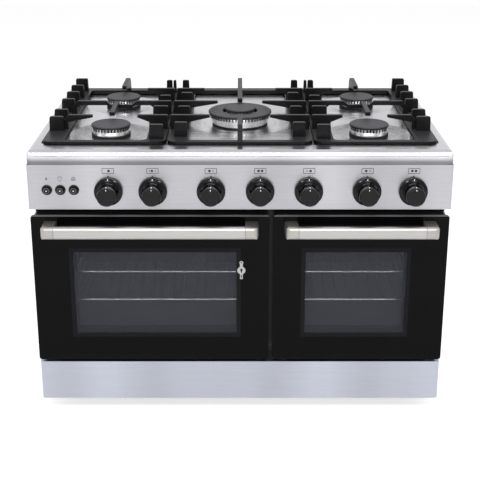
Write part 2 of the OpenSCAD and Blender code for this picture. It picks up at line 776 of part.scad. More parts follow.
module oven_liner(door) {
    color("darkslategray") at_face() {
        difference() {
            upright(lining_y, oven_d) oven_outline(door, sheet_t);
            upright(lining_y - 1, oven_d + 1 - sheet_t) oven_outline(door, 0);
        }
        upright(lining_y, sheet_t) difference() {
            oven_outline(door, 11);
            oven_outline(door, sheet_t / 2);
        }
    }
}

module oven_liner_left() {
    oven_liner(left_door);
}

module oven_liner_right() {
    oven_liner(right_door);
}

// One wire ladder on an oven wall; s points into the oven
module shelf_ladder(wall_x, s) {
    x = wall_x + s * ladder_x;
    ends = [lining_y + 42, oven_y1 - 60];
    low = oven_z0 + rack_low - 1.18 * runner_step;
    high = oven_z0 + rack_low + 3.5 * runner_step;
    for (y = ends) {
        rod_z(x, y, low, high, ladder_r);
        for (z = [low + 6, high - 6])
            rod_x(min(wall_x, x), max(wall_x, x), y, z, ladder_r - 0.5);
    }
    for (k = [-1:3]) {
        z = oven_z0 + rack_low + k * runner_step - rod_r - runner_r - rest_gap;
        rod_y(wall_x + s * runner_x, ends[0] - 12, ends[1] + 12, z, runner_r);
        for (y = ends) rod_x(min(x, wall_x + s * runner_x), max(x, wall_x + s * runner_x), y, z, runner_r - 0.2);
    }
}

module shelf_guides() {
    color("silver") at_face() for (door = [left_door, right_door]) {
        shelf_ladder(door[0] + door[6], 1);
        shelf_ladder(door[1] - door[7], -1);
    }
}

module rack(door, level) {
    x0 = door[0] + door[6] + runner_x;
    x1 = door[1] - door[7] - runner_x;
    z = oven_z0 + rack_low + level * runner_step;
    count = floor((x1 - x0) / wire_pitch);
    step = (x1 - x0) / count;
    color("silver") at_face() {
        for (x = [x0, x1]) rod_y(x, rack_y0, rack_y1, z, rod_r);
        for (y = [rack_y0, rack_y1]) rod_x(x0, x1, y, z, rod_r);
        for (x = [x0, x1], y = [rack_y0, rack_y1]) translate([x, y, z]) sphere(rod_r);
        for (i = [1:count - 1]) rod_y(x0 + i * step, rack_y0, rack_y1, z + rod_r - wire_r, wire_r);
    }
}

module rack_left_lower() {
    rack(left_door, 0);
}

module rack_left_upper() {
    rack(left_door, 2);
}

module rack_right_lower() {
    rack(right_door, 0);
}

module rack_right_upper() {
    rack(right_door, 2);
}

// A tube burner under the floor of each oven, on two stands
module oven_burners() {
    color("silver") at_face() for (door = [left_door, right_door]) {
        x = (door[0] + door[6] + door[1] - door[7]) / 2;
        z = oven_z0 - 26;
        rod_y(x, lining_y + 60, oven_y1 - 60, z, 10);
        for (y = [lining_y + 80, oven_y1 - 90])
            box([x - 14, y, base_z + sheet_t], [x + 14, y + sheet_t, z]);
    }
}

module door_seals() {
    color("black") at_face() for (door = [left_door, right_door])
        upright(door_t + rest_gap, face_gap - rest_gap) difference() {
            oven_outline(door, seal_w + frame_lip);
            oven_outline(door, frame_lip);
        }
}

// ---- Doors ----

// Each bracket is a foot on the frame, an arm to the front and a pin through the ears of the door
module hinge_brackets() {
    color("silver") at_face() for (x = hinge_xs) {
        box([x - 12, face_y - 3, pivot_z - 16], [x + 12, face_y, pivot_z + 11]);
        rib_yz(x, arm_t) {
            translate([pivot_back, pivot_z - arm_h / 2]) square([face_y - pivot_back - 1, arm_h]);
            translate([pivot_back, pivot_z]) circle(arm_h / 2);
        }
        rod_x(x - arm_t / 2 - 1 - ear_t - 1, x + arm_t / 2 + 1 + ear_t + 1, pivot_back, pivot_z, pin_d / 2);
    }
}

module door_glass(door) {
    color("black") at_face() upright(0, outer_glass_t)
        rounded([door[0], door_z], [door[1], door_top], door_r);
}

module window_outline(door, grow) {
    rounded([door[0] + door[4] - grow, door_z + window_bottom - grow],
        [door[1] - door[5] + grow, door_top - window_top + grow], 6);
}

// The steel pan of a door, with its window, the ears for the hinge pins and the slots for the hinge arms
module door_pan(door) {
    low = door_z + pan_inset;
    color("dimgray") at_face() difference() {
        union() {
            difference() {
                upright(outer_glass_t, pan_back - outer_glass_t)
                    rounded([door[0] + pan_inset, low], [door[1] - pan_inset, door_top - pan_inset], door_r);
                upright(outer_glass_t - 1, pan_back - outer_glass_t + 1 - sheet_t)
                    rounded([door[0] + pan_inset + sheet_t, low + sheet_t],
                        [door[1] - pan_inset - sheet_t, door_top - pan_inset - sheet_t], door_r - sheet_t);
            }
            for (x = [door[0] + hinge_inset, door[1] - hinge_inset], s = [-1, 1])
                rib_yz(x + s * (arm_t / 2 + 1 + ear_t / 2), ear_t)
                    translate([outer_glass_t + 1, low]) square([pan_back - outer_glass_t - 1 - sheet_t / 2, 34]);
        }
        upright(pan_back - sheet_t - 1, sheet_t + 2) window_outline(door, -window_border);
        for (x = [door[0] + hinge_inset, door[1] - hinge_inset]) {
            box([x - arm_t / 2 - 1, outer_glass_t, low - 1],
                [x + arm_t / 2 + 1, door_t + 1, pivot_z + arm_h / 2 + 1.5]);
            box([x - 14, pan_back - sheet_t - 2, low - 1], [x + 14, door_t + 1, pivot_z + 20]);
            rod_x(x - 15, x + 15, pivot_back, pivot_z, pin_d / 2 + run_gap);
        }
    }
}

module inner_glass(door) {
    color("lightblue", 0.4) at_face()
        upright(pan_back - sheet_t - inner_glass_t, inner_glass_t) window_outline(door, 4);
}

module bar_section(w, h) {
    translate([-w / 2, -h / 2 + w / 2]) square([w, h - w]);
    for (s = [-1, 1]) translate([0, s * (h / 2 - w / 2)]) circle(w / 2);
}

module handle_bar(door) {
    x0 = door[0] + door[2] + handle_end_w;
    x1 = door[1] - door[3] - handle_end_w;
    y = -handle_proud + handle_t / 2;
    color("silver") at_face() translate([x0, y, handle_z]) rotate([90, 0, 90]) {
        translate([0, 0, 0.8]) linear_extrude(x1 - x0 - 1.6) bar_section(handle_t, handle_h);
        linear_extrude(x1 - x0) bar_section(handle_t - 2, handle_h - 2);
    }
}

// A block that carries the end of the bar out from the glass, rounded at its outer corner
module handle_end(corner_x, s) {
    translate([corner_x, 0, handle_z]) mirror([s < 0 ? 0 : 1, 0, 0]) intersection() {
        translate([0, 0, -handle_h / 2]) linear_extrude(handle_h)
            rounded([0, -handle_proud], [handle_end_w + elbow_r, elbow_r], elbow_r);
        rotate([90, 0, 90]) linear_extrude(handle_end_w) union() {
            translate([-handle_proud + handle_t / 2, 0]) bar_section(handle_t, handle_h);
            polygon([[-handle_proud + handle_t / 2, -handle_h / 2], [0, -handle_foot_h / 2], [0, handle_foot_h / 2],
                [-handle_proud + handle_t / 2, handle_h / 2]]);
        }
        upright(-handle_proud, handle_proud)
            rounded([0, -handle_h / 2], [handle_end_w + elbow_corner_r, handle_h / 2], elbow_corner_r);
    }
}

module handle_ends(door) {
    color("gray") at_face() {
        handle_end(door[0] + door[2], -1);
        handle_end(door[1] - door[3], 1);
    }
}

// A round rose with a keyhole, a tab above and a slotted tab below
module keyhole_plate() {
    x = left_door[1] - 60.5;
    z = door_top - 126;
    color("silver") at_face() upright(-2.5, 2.5) difference() {
        translate([x, z]) union() {
            circle(8.8);
            translate([-3.2, 0]) square([6.4, 19]);
            translate([0, 18]) circle(4.2);
            translate([-3, -20]) square([6, 20]);
        }
        translate([x, z + 1.5]) circle(2.6);
        translate([x - 1.3, z - 5]) square([2.6, 6]);
        translate([x - 0.9, z - 17]) square([1.8, 6.5]);
        translate([x, z + 18.3]) circle(1.6);
    }
}

hob_top();
pan_support_left();
pan_support_centre();
pan_support_right();
burner_cups();
for (i = [0:3])
    burner_head(i);
wok_burner_head();
burner_caps();
wok_burner_caps();
control_panel();
button_bezels();
for (i = [0:6])
    knob(i);
for (i = [0:6])
    tap_spindle(i);
for (i = [0:2])
    button(i);
gas_rail();
side_panel_left();
side_panel_right();
back_panel();
base_tray();
front_frame();
plinth();
feet();
oven_liner_left();
oven_liner_right();
shelf_guides();
rack_left_lower();
rack_left_upper();
rack_right_lower();
rack_right_upper();
oven_burners();
door_seals();
hinge_brackets();
door_glass(left_door);  // door_glass_left
door_pan(left_door);  // door_pan_left
inner_glass(left_door);  // inner_glass_left
handle_bar(left_door);  // handle_bar_left
handle_ends(left_door);  // handle_ends_left
door_glass(right_door);  // door_glass_right
door_pan(right_door);  // door_pan_right
inner_glass(right_door);  // inner_glass_right
handle_bar(right_door);  // handle_bar_right
handle_ends(right_door);  // handle_ends_right
keyhole_plate();
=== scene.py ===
"""A free-standing range cooker: a stainless hob with five gas burners over a wide and a narrow oven.

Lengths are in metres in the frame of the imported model, with +X to the right, +Y to the back and +Z up.
The sections go from the hob to the control panel, the doors, the ovens, the carcass and the gas pipe."""

import bpy
import numpy as np
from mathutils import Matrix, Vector
from mathutils.bvhtree import BVHTree


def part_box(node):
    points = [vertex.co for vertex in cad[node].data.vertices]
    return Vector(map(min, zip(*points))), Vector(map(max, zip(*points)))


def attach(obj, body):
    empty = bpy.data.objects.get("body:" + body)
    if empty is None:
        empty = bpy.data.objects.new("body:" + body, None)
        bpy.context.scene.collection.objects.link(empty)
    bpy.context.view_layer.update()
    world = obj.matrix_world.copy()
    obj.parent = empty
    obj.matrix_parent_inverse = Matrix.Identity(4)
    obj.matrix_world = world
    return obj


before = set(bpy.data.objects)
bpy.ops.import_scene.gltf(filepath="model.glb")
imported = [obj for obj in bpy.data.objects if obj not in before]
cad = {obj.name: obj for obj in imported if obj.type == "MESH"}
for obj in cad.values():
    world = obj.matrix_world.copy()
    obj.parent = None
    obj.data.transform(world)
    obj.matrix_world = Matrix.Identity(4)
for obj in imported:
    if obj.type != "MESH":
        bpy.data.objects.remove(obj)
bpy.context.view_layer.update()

# ---- Camera ----
# A long lens in front of the middle of the cooker, above the hob. The photograph's upright edges call for
# a much larger vertical shift; this one is as large as the views from other sides allow.
CAMERA_PLACE = (0.0, -2.3394, 1.2213)
CAMERA_TILT = 71.86
CAMERA_LENS = 77.15
CAMERA_SENSOR = 36
CAMERA_SHIFT = -0.12

camera = bpy.data.objects.new("camera", bpy.data.cameras.new("camera"))
camera.location = CAMERA_PLACE
camera.rotation_euler = (np.radians(CAMERA_TILT), 0, 0)
camera.data.lens = CAMERA_LENS
camera.data.sensor_width = CAMERA_SENSOR
camera.data.shift_y = CAMERA_SHIFT
bpy.context.scene.collection.objects.link(camera)
bpy.context.scene.camera = camera
bpy.context.scene.view_settings.view_transform = "Standard"


# ---- Studio ----
# A white room: an even sky, a matt floor that keeps the cooker's shadow, and four soft boxes. The low one
# draws the bright arcs on the knobs and the bright line along the hob. Each box has its place, the point
# that it faces, its width and height, and its power in watts.
SKY_LIGHT, SEEN_SKY = 0.5, 1.0
FLOOR, FLOOR_GLOW = "#f4f4f4", 0.5
FLOOR_HALF = 6.0
SOFT_BOXES = {
    "front_box": ((0.0, -2.2, 3.0), (0.0, 0.0, 0.35), (2.6, 0.8), 48),
    "left_box": ((-2.8, -0.9, 1.5), (0.0, 0.0, 0.3), (1.4, 2.0), 18),
    "right_box": ((2.8, -0.9, 1.5), (0.0, 0.0, 0.3), (1.4, 2.0), 18),
    "low_box": ((0.0, -3.1, 1.75), (0.0, 0.0, 0.45), (2.4, 0.24), 38),
}


def linear(code):
    """The linear colour of an sRGB hex value, with an alpha of 1."""
    value = np.array([int(code[i:i + 2], 16) for i in (1, 3, 5)]) / 255
    return (*np.where(value <= 0.04045, value / 12.92, ((value + 0.055) / 1.055) ** 2.4), 1.0)


def add(tree, kind, inputs=None, **settings):
    """Adds one node with its settings; an input that is given a socket is linked to it."""
    made = tree.nodes.new(kind)
    for key, value in settings.items():
        setattr(made, key, value)
    for key, value in (inputs or {}).items():
        if isinstance(value, bpy.types.NodeSocket):
            tree.links.new(value, made.inputs[key])
        else:
            made.inputs[key].default_value = value
    return made


def new_finish(name):
    """An empty material and its node tree."""
    finish = bpy.data.materials.new(name)
    finish.use_nodes = True
    finish.node_tree.nodes.clear()
    return finish, finish.node_tree


def seen_directly(tree):
    """A socket that is 1 for what is seen directly, mirrored or through glass, and 0 for light alone."""
    path = add(tree, "ShaderNodeLightPath")
    seen = add(tree, "ShaderNodeMath", {0: path.outputs["Is Camera Ray"], 1: path.outputs["Is Glossy Ray"]},
               operation="MAXIMUM")
    return add(tree, "ShaderNodeMath", {0: seen.outputs[0], 1: path.outputs["Is Transmission Ray"]},
               operation="MAXIMUM").outputs[0]


world = bpy.data.worlds.new("studio")
bpy.context.scene.world = world
world.use_nodes = True
tree = world.node_tree
tree.nodes.clear()
level = add(tree, "ShaderNodeMapRange",
            {"Value": seen_directly(tree), "To Min": SKY_LIGHT, "To Max": SEEN_SKY})
sky = add(tree, "ShaderNodeBackground", {"Color": linear("#ffffff"), "Strength": level.outputs[0]})
add(tree, "ShaderNodeOutputWorld", {"Surface": sky.outputs[0]})

floor_paint, tree = new_finish("pale_matt_floor_paint")
shade = add(tree, "ShaderNodeBsdfDiffuse", {"Color": linear(FLOOR)})
level = add(tree, "ShaderNodeMapRange", {"Value": seen_directly(tree), "To Min": 0.0, "To Max": FLOOR_GLOW})
glow = add(tree, "ShaderNodeEmission", {"Color": linear("#ffffff"), "Strength": level.outputs[0]})
both = add(tree, "ShaderNodeAddShader", {0: shade.outputs[0], 1: glow.outputs[0]})
add(tree, "ShaderNodeOutputMaterial", {"Surface": both.outputs[0]})
floor_mesh = bpy.data.meshes.new("floor")
floor_corners = [(x * FLOOR_HALF, y * FLOOR_HALF, 0) for x, y in ((-1, -1), (1, -1), (1, 1), (-1, 1))]
floor_mesh.from_pydata(floor_corners, [], [(0, 1, 2, 3)])
floor_mesh.materials.append(floor_paint)
floor = bpy.data.objects.new("floor", floor_mesh)
bpy.context.scene.collection.objects.link(floor)

for name, (place, aim, size, watts) in SOFT_BOXES.items():
    lamp = bpy.data.lights.new(name, "AREA")
    lamp.shape = "RECTANGLE"
    lamp.size, lamp.size_y = size
    lamp.energy = watts
    box = bpy.data.objects.new(name, lamp)
    box.location = place
    box.rotation_euler = (Vector(aim) - Vector(place)).to_track_quat("-Z", "Y").to_euler()
    bpy.context.scene.collection.objects.link(box)


# ---- Hob top ----
# One pressing of 1.5 mm stainless steel, brushed from side to side, with a rolled edge and a dish round
# each burner. Broad upright stripes of painted reflection stand in for the soft upright stripes into which
# the brushing smears reflections, and painted shade darkens it towards the bottom of the pressing, on the
# turned-under lip. Its lines are under 0.1 mm apart on the real sheet, and are drawn 0.9 mm apart so that
# they show.
MM = 0.001
GRAIN_PITCH, GRAIN_LENGTH = 0.9 * MM, 60 * MM
SCRATCH = 0.003 * MM
STREAK_DARK, STREAK_LIGHT, STREAK_ROUGH = 0.86, 1.12, 0.05
PAINTED_BAND_WIDTH = 120 * MM
NOISE_LOW, NOISE_HIGH = 0.3, 0.7  # nearly all of a noise lies between these
FACTOR, FIRST, SECOND, MIXED = 0, 6, 7, 2  # a Mix node's sockets: the share, the two colours and the result
HOB_STEEL, HOB_LIP_SHADE = "#cbcbd0", "#747478"
LIP_RISE, LIP_DROP = 4 * MM, 12 * MM
hob_low, hob_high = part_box("hob_top")


def shaded(code, share):
    """The colour of a hex value made darker or lighter by a share."""
    return (*(min(1.0, share * c) for c in linear(code)[:3]), 1.0)


def brushed_metal(name, code, roughness, grain, pitch=GRAIN_PITCH, length=GRAIN_LENGTH, scratch=SCRATCH,
                  low=None, fade=None, painted_reflection=0):
    """Brushed metal: noise drawn out along the axis grain varies the colour, the roughness and a bump as
    deep as scratch. With fade, a pair of heights, the colour goes from low at the first to code at the
    second, a painted shade towards the bottom. The last argument, a share, is how much broad upright
    stripes of painted reflection darken it."""
    finish, tree = new_finish(name)
    place = add(tree, "ShaderNodeTexCoord").outputs["Object"]
    scale = [1 / length if axis == grain else 1 / pitch for axis in "XYZ"]
    lines = add(tree, "ShaderNodeMapping", {"Vector": place, "Scale": scale})
    streak = add(tree, "ShaderNodeTexNoise", {"Vector": lines.outputs[0], "Scale": 1.0, "Detail": 3.0})
    ramp = add(tree, "ShaderNodeMix",
               {FACTOR: streak.outputs["Fac"], FIRST: shaded(code, STREAK_DARK),
                SECOND: shaded(code, STREAK_LIGHT)}, data_type="RGBA")
    tint = ramp.outputs[MIXED]
    if fade:
        height = add(tree, "ShaderNodeSeparateXYZ", {"Vector": place}).outputs["Z"]
        rise = add(tree, "ShaderNodeMapRange", {"Value": height, "From Min": fade[0], "From Max": fade[1]},
                   interpolation_type="SMOOTHSTEP")
        ramp = add(tree, "ShaderNodeMix", {FACTOR: rise.outputs[0], FIRST: linear(low), SECOND: tint},
                   data_type="RGBA")
        tint = ramp.outputs[MIXED]
    if painted_reflection:
        across = add(tree, "ShaderNodeVectorMath", {0: place, 1: (1 / PAINTED_BAND_WIDTH, 0, 0)},
                     operation="MULTIPLY")
        broad = add(tree, "ShaderNodeTexNoise", {"Vector": across.outputs[0], "Scale": 1.0, "Detail": 0.0})
        share = add(tree, "ShaderNodeMapRange",
                    {"Value": broad.outputs["Fac"], "From Min": NOISE_LOW, "From Max": NOISE_HIGH,
                     "To Min": 1 - painted_reflection, "To Max": 1.0})
        reflection_dimmed = add(tree, "ShaderNodeVectorMath", {0: tint, "Scale": share.outputs[0]}, operation="SCALE")
        tint = reflection_dimmed.outputs[0]
    rough = add(tree, "ShaderNodeMapRange",
                {"Value": streak.outputs["Fac"], "From Min": NOISE_LOW, "From Max": NOISE_HIGH,
                 "To Min": roughness - STREAK_ROUGH, "To Max": roughness + STREAK_ROUGH})
    bump = add(tree, "ShaderNodeBump",
               {"Height": streak.outputs["Fac"], "Strength": 0.5, "Distance": scratch})
    shade = add(tree, "ShaderNodeBsdfPrincipled",
                {"Base Color": tint, "Metallic": 1.0, "Roughness": rough.outputs[0],
                 "Normal": bump.outputs[0]})
    add(tree, "ShaderNodeOutputMaterial", {"Surface": shade.outputs[0]})
    return finish


def dress(nodes, finish):
    """Gives the CAD nodes a finish in all their material slots."""
    for name in nodes:
        for place in cad[name].material_slots:
            place.material = finish


# Painted shade darkens the hob towards the bottom of its pressing, on the turned-under lip.
hob_lip_shade_heights = (hob_low[2] + LIP_RISE, hob_high[2] - LIP_DROP)
dress(["hob_top"], brushed_metal("brushed_stainless_hob", HOB_STEEL, 0.24, "X", low=HOB_LIP_SHADE, fade=hob_lip_shade_heights,
                                 painted_reflection=0.22))


# ---- Pan supports ----
# Three grey iron castings in satin black vitreous enamel. Level tops are painted grey, a painted highlight
# for the light they catch from above, while the upright sides stay near black. The sand of the mould leaves
# a fine pebbled skin.
SAND_GRAIN, SAND_DEPTH = 1.6 * MM, 0.12 * MM
PEBBLE_DARK, PEBBLE_LIGHT, PEBBLE_ROUGH = 0.8, 1.2, 0.1
TILTED, LEVEL = 0.35, 0.95  # the upward part of a normal, from which a face starts to take the top's colour


def enamel(name, side, top, roughness, grain, depth, specular):
    """Vitreous enamel over metal: a pebbled skin from noise of the given grain. Faces that look up take the
    second colour, from the object's own normals, as a painted highlight for the light from above."""
    finish, tree = new_finish(name)
    place = add(tree, "ShaderNodeTexCoord")
    skin = add(tree, "ShaderNodeTexNoise",
               {"Vector": place.outputs["Object"], "Scale": 1 / grain, "Detail": 3.0, "Roughness": 0.6})
    up = add(tree, "ShaderNodeSeparateXYZ", {"Vector": place.outputs["Normal"]}).outputs["Z"]
    painted_top_light = add(tree, "ShaderNodeMapRange", {"Value": up, "From Min": TILTED, "From Max": LEVEL})
    tint = add(tree, "ShaderNodeMix", {FACTOR: painted_top_light.outputs[0], FIRST: linear(side), SECOND: linear(top)},
               data_type="RGBA")
    light = add(tree, "ShaderNodeMapRange",
                {"Value": skin.outputs["Fac"], "From Min": NOISE_LOW, "From Max": NOISE_HIGH,
                 "To Min": PEBBLE_DARK, "To Max": PEBBLE_LIGHT})
    tint = add(tree, "ShaderNodeVectorMath", {0: tint.outputs[MIXED], "Scale": light.outputs[0]},
               operation="SCALE")
    rough = add(tree, "ShaderNodeMapRange",
                {"Value": skin.outputs["Fac"], "To Min": roughness - PEBBLE_ROUGH,
                 "To Max": roughness + PEBBLE_ROUGH})
    bump = add(tree, "ShaderNodeBump", {"Height": skin.outputs["Fac"], "Strength": 0.6, "Distance": depth})
    shade = add(tree, "ShaderNodeBsdfPrincipled",
                {"Base Color": tint.outputs[0], "Roughness": rough.outputs[0], "Normal": bump.outputs[0],
                 "Specular IOR Level": specular})
    add(tree, "ShaderNodeOutputMaterial", {"Surface": shade.outputs[0]})
    return finish


cast_iron = enamel("enamelled_cast_iron", "#0c0c0d", "#2e2e30", 0.4, SAND_GRAIN, SAND_DEPTH, 0.14)
dress(["pan_support_left", "pan_support_centre", "pan_support_right"], cast_iron)


# ---- Burners ----
# The crowns are die cast aluminium: the teeth between the flame ports are milled bright, and the ports are
# painted dark, a painted shade for the deep slots between the teeth. The caps are pressed steel in matt
# enamel, with tops painted greyer, a painted highlight for the light from above. The cups are blackened
# steel, and each holds a white ceramic electrode with a bare wire tip.
CROWN_GRAIN, CROWN_DEPTH = 1.2 * MM, 0.04 * MM
SLOT_SHADE, MILLED = "#1d1c1b", "#e4e4e2"
SLOT_SHADE_IN = 2.6 * MM
TOOTH_H = 7.2 * MM
WOK_CROWN_DROP = 6 * MM
WOK_INNER_R = 33 * MM
CAP_GRAIN, CAP_DEPTH = 1.1 * MM, 0.03 * MM
CUP_STEEL, CERAMIC, WIRE = "#0d0d0e", "#e6e2d8", "#8a8884"
CERAMIC_RISE, WIRE_RISE = -2 * MM, 8.2 * MM


def crown_metal(node, tooth_r, tooth_top, inner_r=0.0):
    """Cast aluminium whose teeth, under tooth_top, are bright from a set depth inside their tips at tooth_r
    outwards, and painted dark nearer the burner's axis, a painted shade for the slots between the teeth. A
    second crown inside the first has its tips at inner_r."""
    finish, tree = new_finish(f"bright_cast_aluminium_{node}")
    low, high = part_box(node)
    middle = [(low[0] + high[0]) / 2, (low[1] + high[1]) / 2, 0]
    place = add(tree, "ShaderNodeTexCoord").outputs["Object"]
    flat = add(tree, "ShaderNodeVectorMath", {0: place, 1: (1, 1, 0)}, operation="MULTIPLY")
    out = add(tree, "ShaderNodeVectorMath", {0: flat.outputs[0], 1: middle}, operation="DISTANCE")
    bright = add(tree, "ShaderNodeMapRange",
                 {"Value": out.outputs["Value"], "From Min": tooth_r - SLOT_SHADE_IN,
                  "From Max": tooth_r - SLOT_SHADE_IN / 2})
    height = add(tree, "ShaderNodeSeparateXYZ", {"Vector": place}).outputs["Z"]
    below = add(tree, "ShaderNodeMath", {0: height, 1: tooth_top - TOOTH_H}, operation="LESS_THAN")
    bright = add(tree, "ShaderNodeMath", {0: bright.outputs[0], 1: below.outputs[0]}, operation="MAXIMUM")
    within = add(tree, "ShaderNodeMath", {0: out.outputs["Value"], 1: inner_r, 2: SLOT_SHADE_IN},
                 operation="COMPARE")
    bright = add(tree, "ShaderNodeMath", {0: bright.outputs[0], 1: within.outputs[0]}, operation="MAXIMUM")
    grain = add(tree, "ShaderNodeTexNoise", {"Vector": place, "Scale": 1 / CROWN_GRAIN, "Detail": 2.0})
    tint = add(tree, "ShaderNodeMix",
               {FACTOR: bright.outputs[0], FIRST: linear(SLOT_SHADE), SECOND: linear(MILLED)}, data_type="RGBA")
    rough = add(tree, "ShaderNodeMapRange", {"Value": grain.outputs["Fac"], "To Min": 0.16, "To Max": 0.4})
    bump = add(tree, "ShaderNodeBump",
               {"Height": grain.outputs["Fac"], "Strength": 0.4, "Distance": CROWN_DEPTH})
    shade = add(tree, "ShaderNodeBsdfPrincipled",
                {"Base Color": tint.outputs[MIXED], "Metallic": 1.0, "Roughness": rough.outputs[0],
                 "Normal": bump.outputs[0]})
    add(tree, "ShaderNodeOutputMaterial", {"Surface": shade.outputs[0]})
    return finish


for node in [f"burner_head_{i}" for i in range(1, 5)]:
    low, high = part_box(node)
    dress([node], crown_metal(node, (high[0] - low[0]) / 2, high[2]))
low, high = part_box("wok_burner_head")
wok_metal = crown_metal("wok_burner_head", (high[0] - low[0]) / 2, high[2] - WOK_CROWN_DROP, WOK_INNER_R)
dress(["wok_burner_head"], wok_metal)
# The cap tops are painted greyer than the sides, a painted highlight.
cap_enamel = enamel("matt_enamel_painted_grey_top", "#121213", "#48484c", 0.6, CAP_GRAIN, CAP_DEPTH, 0.3)
dress(["burner_caps", "wok_burner_caps"], cap_enamel)

cup_steel, tree = new_finish("blackened_steel_and_ceramic")
place = add(tree, "ShaderNodeTexCoord").outputs["Object"]
height = add(tree, "ShaderNodeSeparateXYZ", {"Vector": place}).outputs["Z"]
skin = add(tree, "ShaderNodeTexNoise", {"Vector": place, "Scale": 1 / (2 * MM), "Detail": 2.0})
ceramic = add(tree, "ShaderNodeMath", {0: height, 1: hob_high[2] + CERAMIC_RISE}, operation="GREATER_THAN")
wire = add(tree, "ShaderNodeMath", {0: height, 1: hob_high[2] + WIRE_RISE}, operation="GREATER_THAN")
tint = add(tree, "ShaderNodeMix",
           {FACTOR: ceramic.outputs[0], FIRST: linear(CUP_STEEL), SECOND: linear(CERAMIC)}, data_type="RGBA")
tint = add(tree, "ShaderNodeMix", {FACTOR: wire.outputs[0], FIRST: tint.outputs[MIXED], SECOND: linear(WIRE)},
           data_type="RGBA")
rough = add(tree, "ShaderNodeMapRange", {"Value": skin.outputs["Fac"], "To Min": 0.45, "To Max": 0.65})
shade = add(tree, "ShaderNodeBsdfPrincipled",
            {"Base Color": tint.outputs[MIXED], "Metallic": wire.outputs[0], "Roughness": rough.outputs[0],
             "Specular IOR Level": 0.25})
add(tree, "ShaderNodeOutputMaterial", {"Surface": shade.outputs[0]})
dress(["burner_cups"], cup_steel)


# ---- Control panel and its print ----
# Folded and brushed stainless sheet with screen print in two inks: over each knob a box with dots for the
# burners and a dot to turn to, and over the buttons a spark, a lamp and a fan. BURNER_DOTS has each dot's
# place from the middle of its box and its radius, in millimetres.
INK_OUT, INK_IN = -0.12 * MM, 0.1 * MM
INK_MOTTLE = 3 * MM
ICON_Z, DOT_Z, BUTTON_ICON_Z = 570.2 * MM, 558.3 * MM, 552.5 * MM
ICON_W, ICON_H, ICON_LINE = 25.6 * MM, 12.4 * MM, 1.1 * MM
ICON_R, ICON_INNER_R, DOT_R = 2 * MM, 1.4 * MM, 1.6 * MM
BURNER_DOTS = {1: [(1.5, 2.8)], 2: [(-1.0, 2.6), (5.5, 1.2), (-6.5, 1.2)], 3: [(-3.0, 2.7), (4.5, 1.3)],
               4: [(-3.8, 2.7), (3.8, 2.7)], 5: [(-4.5, 1.3), (3.0, 2.7)], 6: [(-3.0, 2.7), (5.0, 1.3)],
               7: [(-3.8, 2.7), (3.8, 2.7)]}
SPARK_SIZE, SPARK_WAIST = np.array([2.9, 4.4]) * MM, 0.38
BULB_W, BULB_H, BULB_LINE, BULB_NECK = 8.6 * MM, 11 * MM, 1 * MM, 0.45
FAN_R, FAN_LINE = 4.8 * MM, 0.9 * MM
BLADE_W, BLADE_H, BLADE_OUT = 1.4 * MM, 2.8 * MM, 1.9 * MM
front_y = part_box("control_panel")[0][1]


def screen_print(name, code, roughness=0.55):
    """Screen printing ink: an even colour with a slight mottle of 3 mm."""
    finish, tree = new_finish(name)
    place = add(tree, "ShaderNodeTexCoord").outputs["Object"]
    mottle = add(tree, "ShaderNodeTexNoise", {"Vector": place, "Scale": 1 / INK_MOTTLE, "Detail": 1.0})
    tint = add(tree, "ShaderNodeMix",
               {FACTOR: mottle.outputs["Fac"], FIRST: shaded(code, 0.85), SECOND: shaded(code, 1.1)},
               data_type="RGBA")
    shade = add(tree, "ShaderNodeBsdfPrincipled",
                {"Base Color": tint.outputs[MIXED], "Roughness": roughness, "Specular IOR Level": 0.25})
    add(tree, "ShaderNodeOutputMaterial", {"Surface": shade.outputs[0]})
    return finish


def shells(name, parts, body, finish, smooth=False):
    """One object of closed shells. Each shell is (rows, loop): rows is an array of closed rings of
    points, joined ring to ring by quads, and loop says if the last ring joins the first; otherwise one
    face shuts each end."""
    points, faces, start = [], [], 0
    for rows, loop in parts:
        rows = np.asarray(rows, float)
        m, n = rows.shape[:2]
        i = np.arange(m if loop else m - 1)[:, None]
        j = np.arange(n)[None, :]
        k = (i + 1) % m
        quads = np.stack([i * n + j, i * n + (j + 1) % n, k * n + (j + 1) % n, k * n + j], -1)
        faces += (quads.reshape(-1, 4) + start).tolist()
        if not loop:
            last = start + (m - 1) * n
            faces += [list(range(start + n - 1, start - 1, -1)), list(range(last, last + n))]
        points.append(rows.reshape(-1, 3))
        start += m * n
    mesh = bpy.data.meshes.new(name)
    mesh.from_pydata(np.concatenate(points).tolist(), [], faces)
    mesh.materials.append(finish)
    mesh.polygons.foreach_set("use_smooth", [smooth] * len(faces))
    piece = bpy.data.objects.new(name, mesh)
    bpy.context.scene.collection.objects.link(piece)
    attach(piece, body)
    return piece


def round_outline(radius, count=24):
    """A circle as (across, up) points, anticlockwise."""
    turn = np.linspace(0, 2 * np.pi, count, endpoint=False)
    return np.stack([radius * np.cos(turn), radius * np.sin(turn)], -1)


def box_outline(width, height, radius, count=6):
    """A rectangle with round corners: each corner is a quarter circle of count + 1 points."""
    turn = np.linspace(0, np.pi / 2, count + 1)
    arcs = [np.stack([np.cos(turn + q * np.pi / 2), np.sin(turn + q * np.pi / 2)], -1) * radius
            + np.array([sx * (width / 2 - radius), sz * (height / 2 - radius)])
            for q, (sx, sz) in enumerate([(1, 1), (-1, 1), (-1, -1), (1, -1)])]
    return np.concatenate(arcs)


def upright(outline, centre, y):
    """The outline standing in the plane y, moved to centre, which is (x, z)."""
    return np.stack([outline[:, 0] + centre[0], np.full(len(outline), y), outline[:, 1] + centre[1]], -1)


def plate(outline, centre, front, back):
    """A solid plate of that outline between two depths."""
    return (np.stack([upright(outline, centre, back), upright(outline, centre, front)]), False)


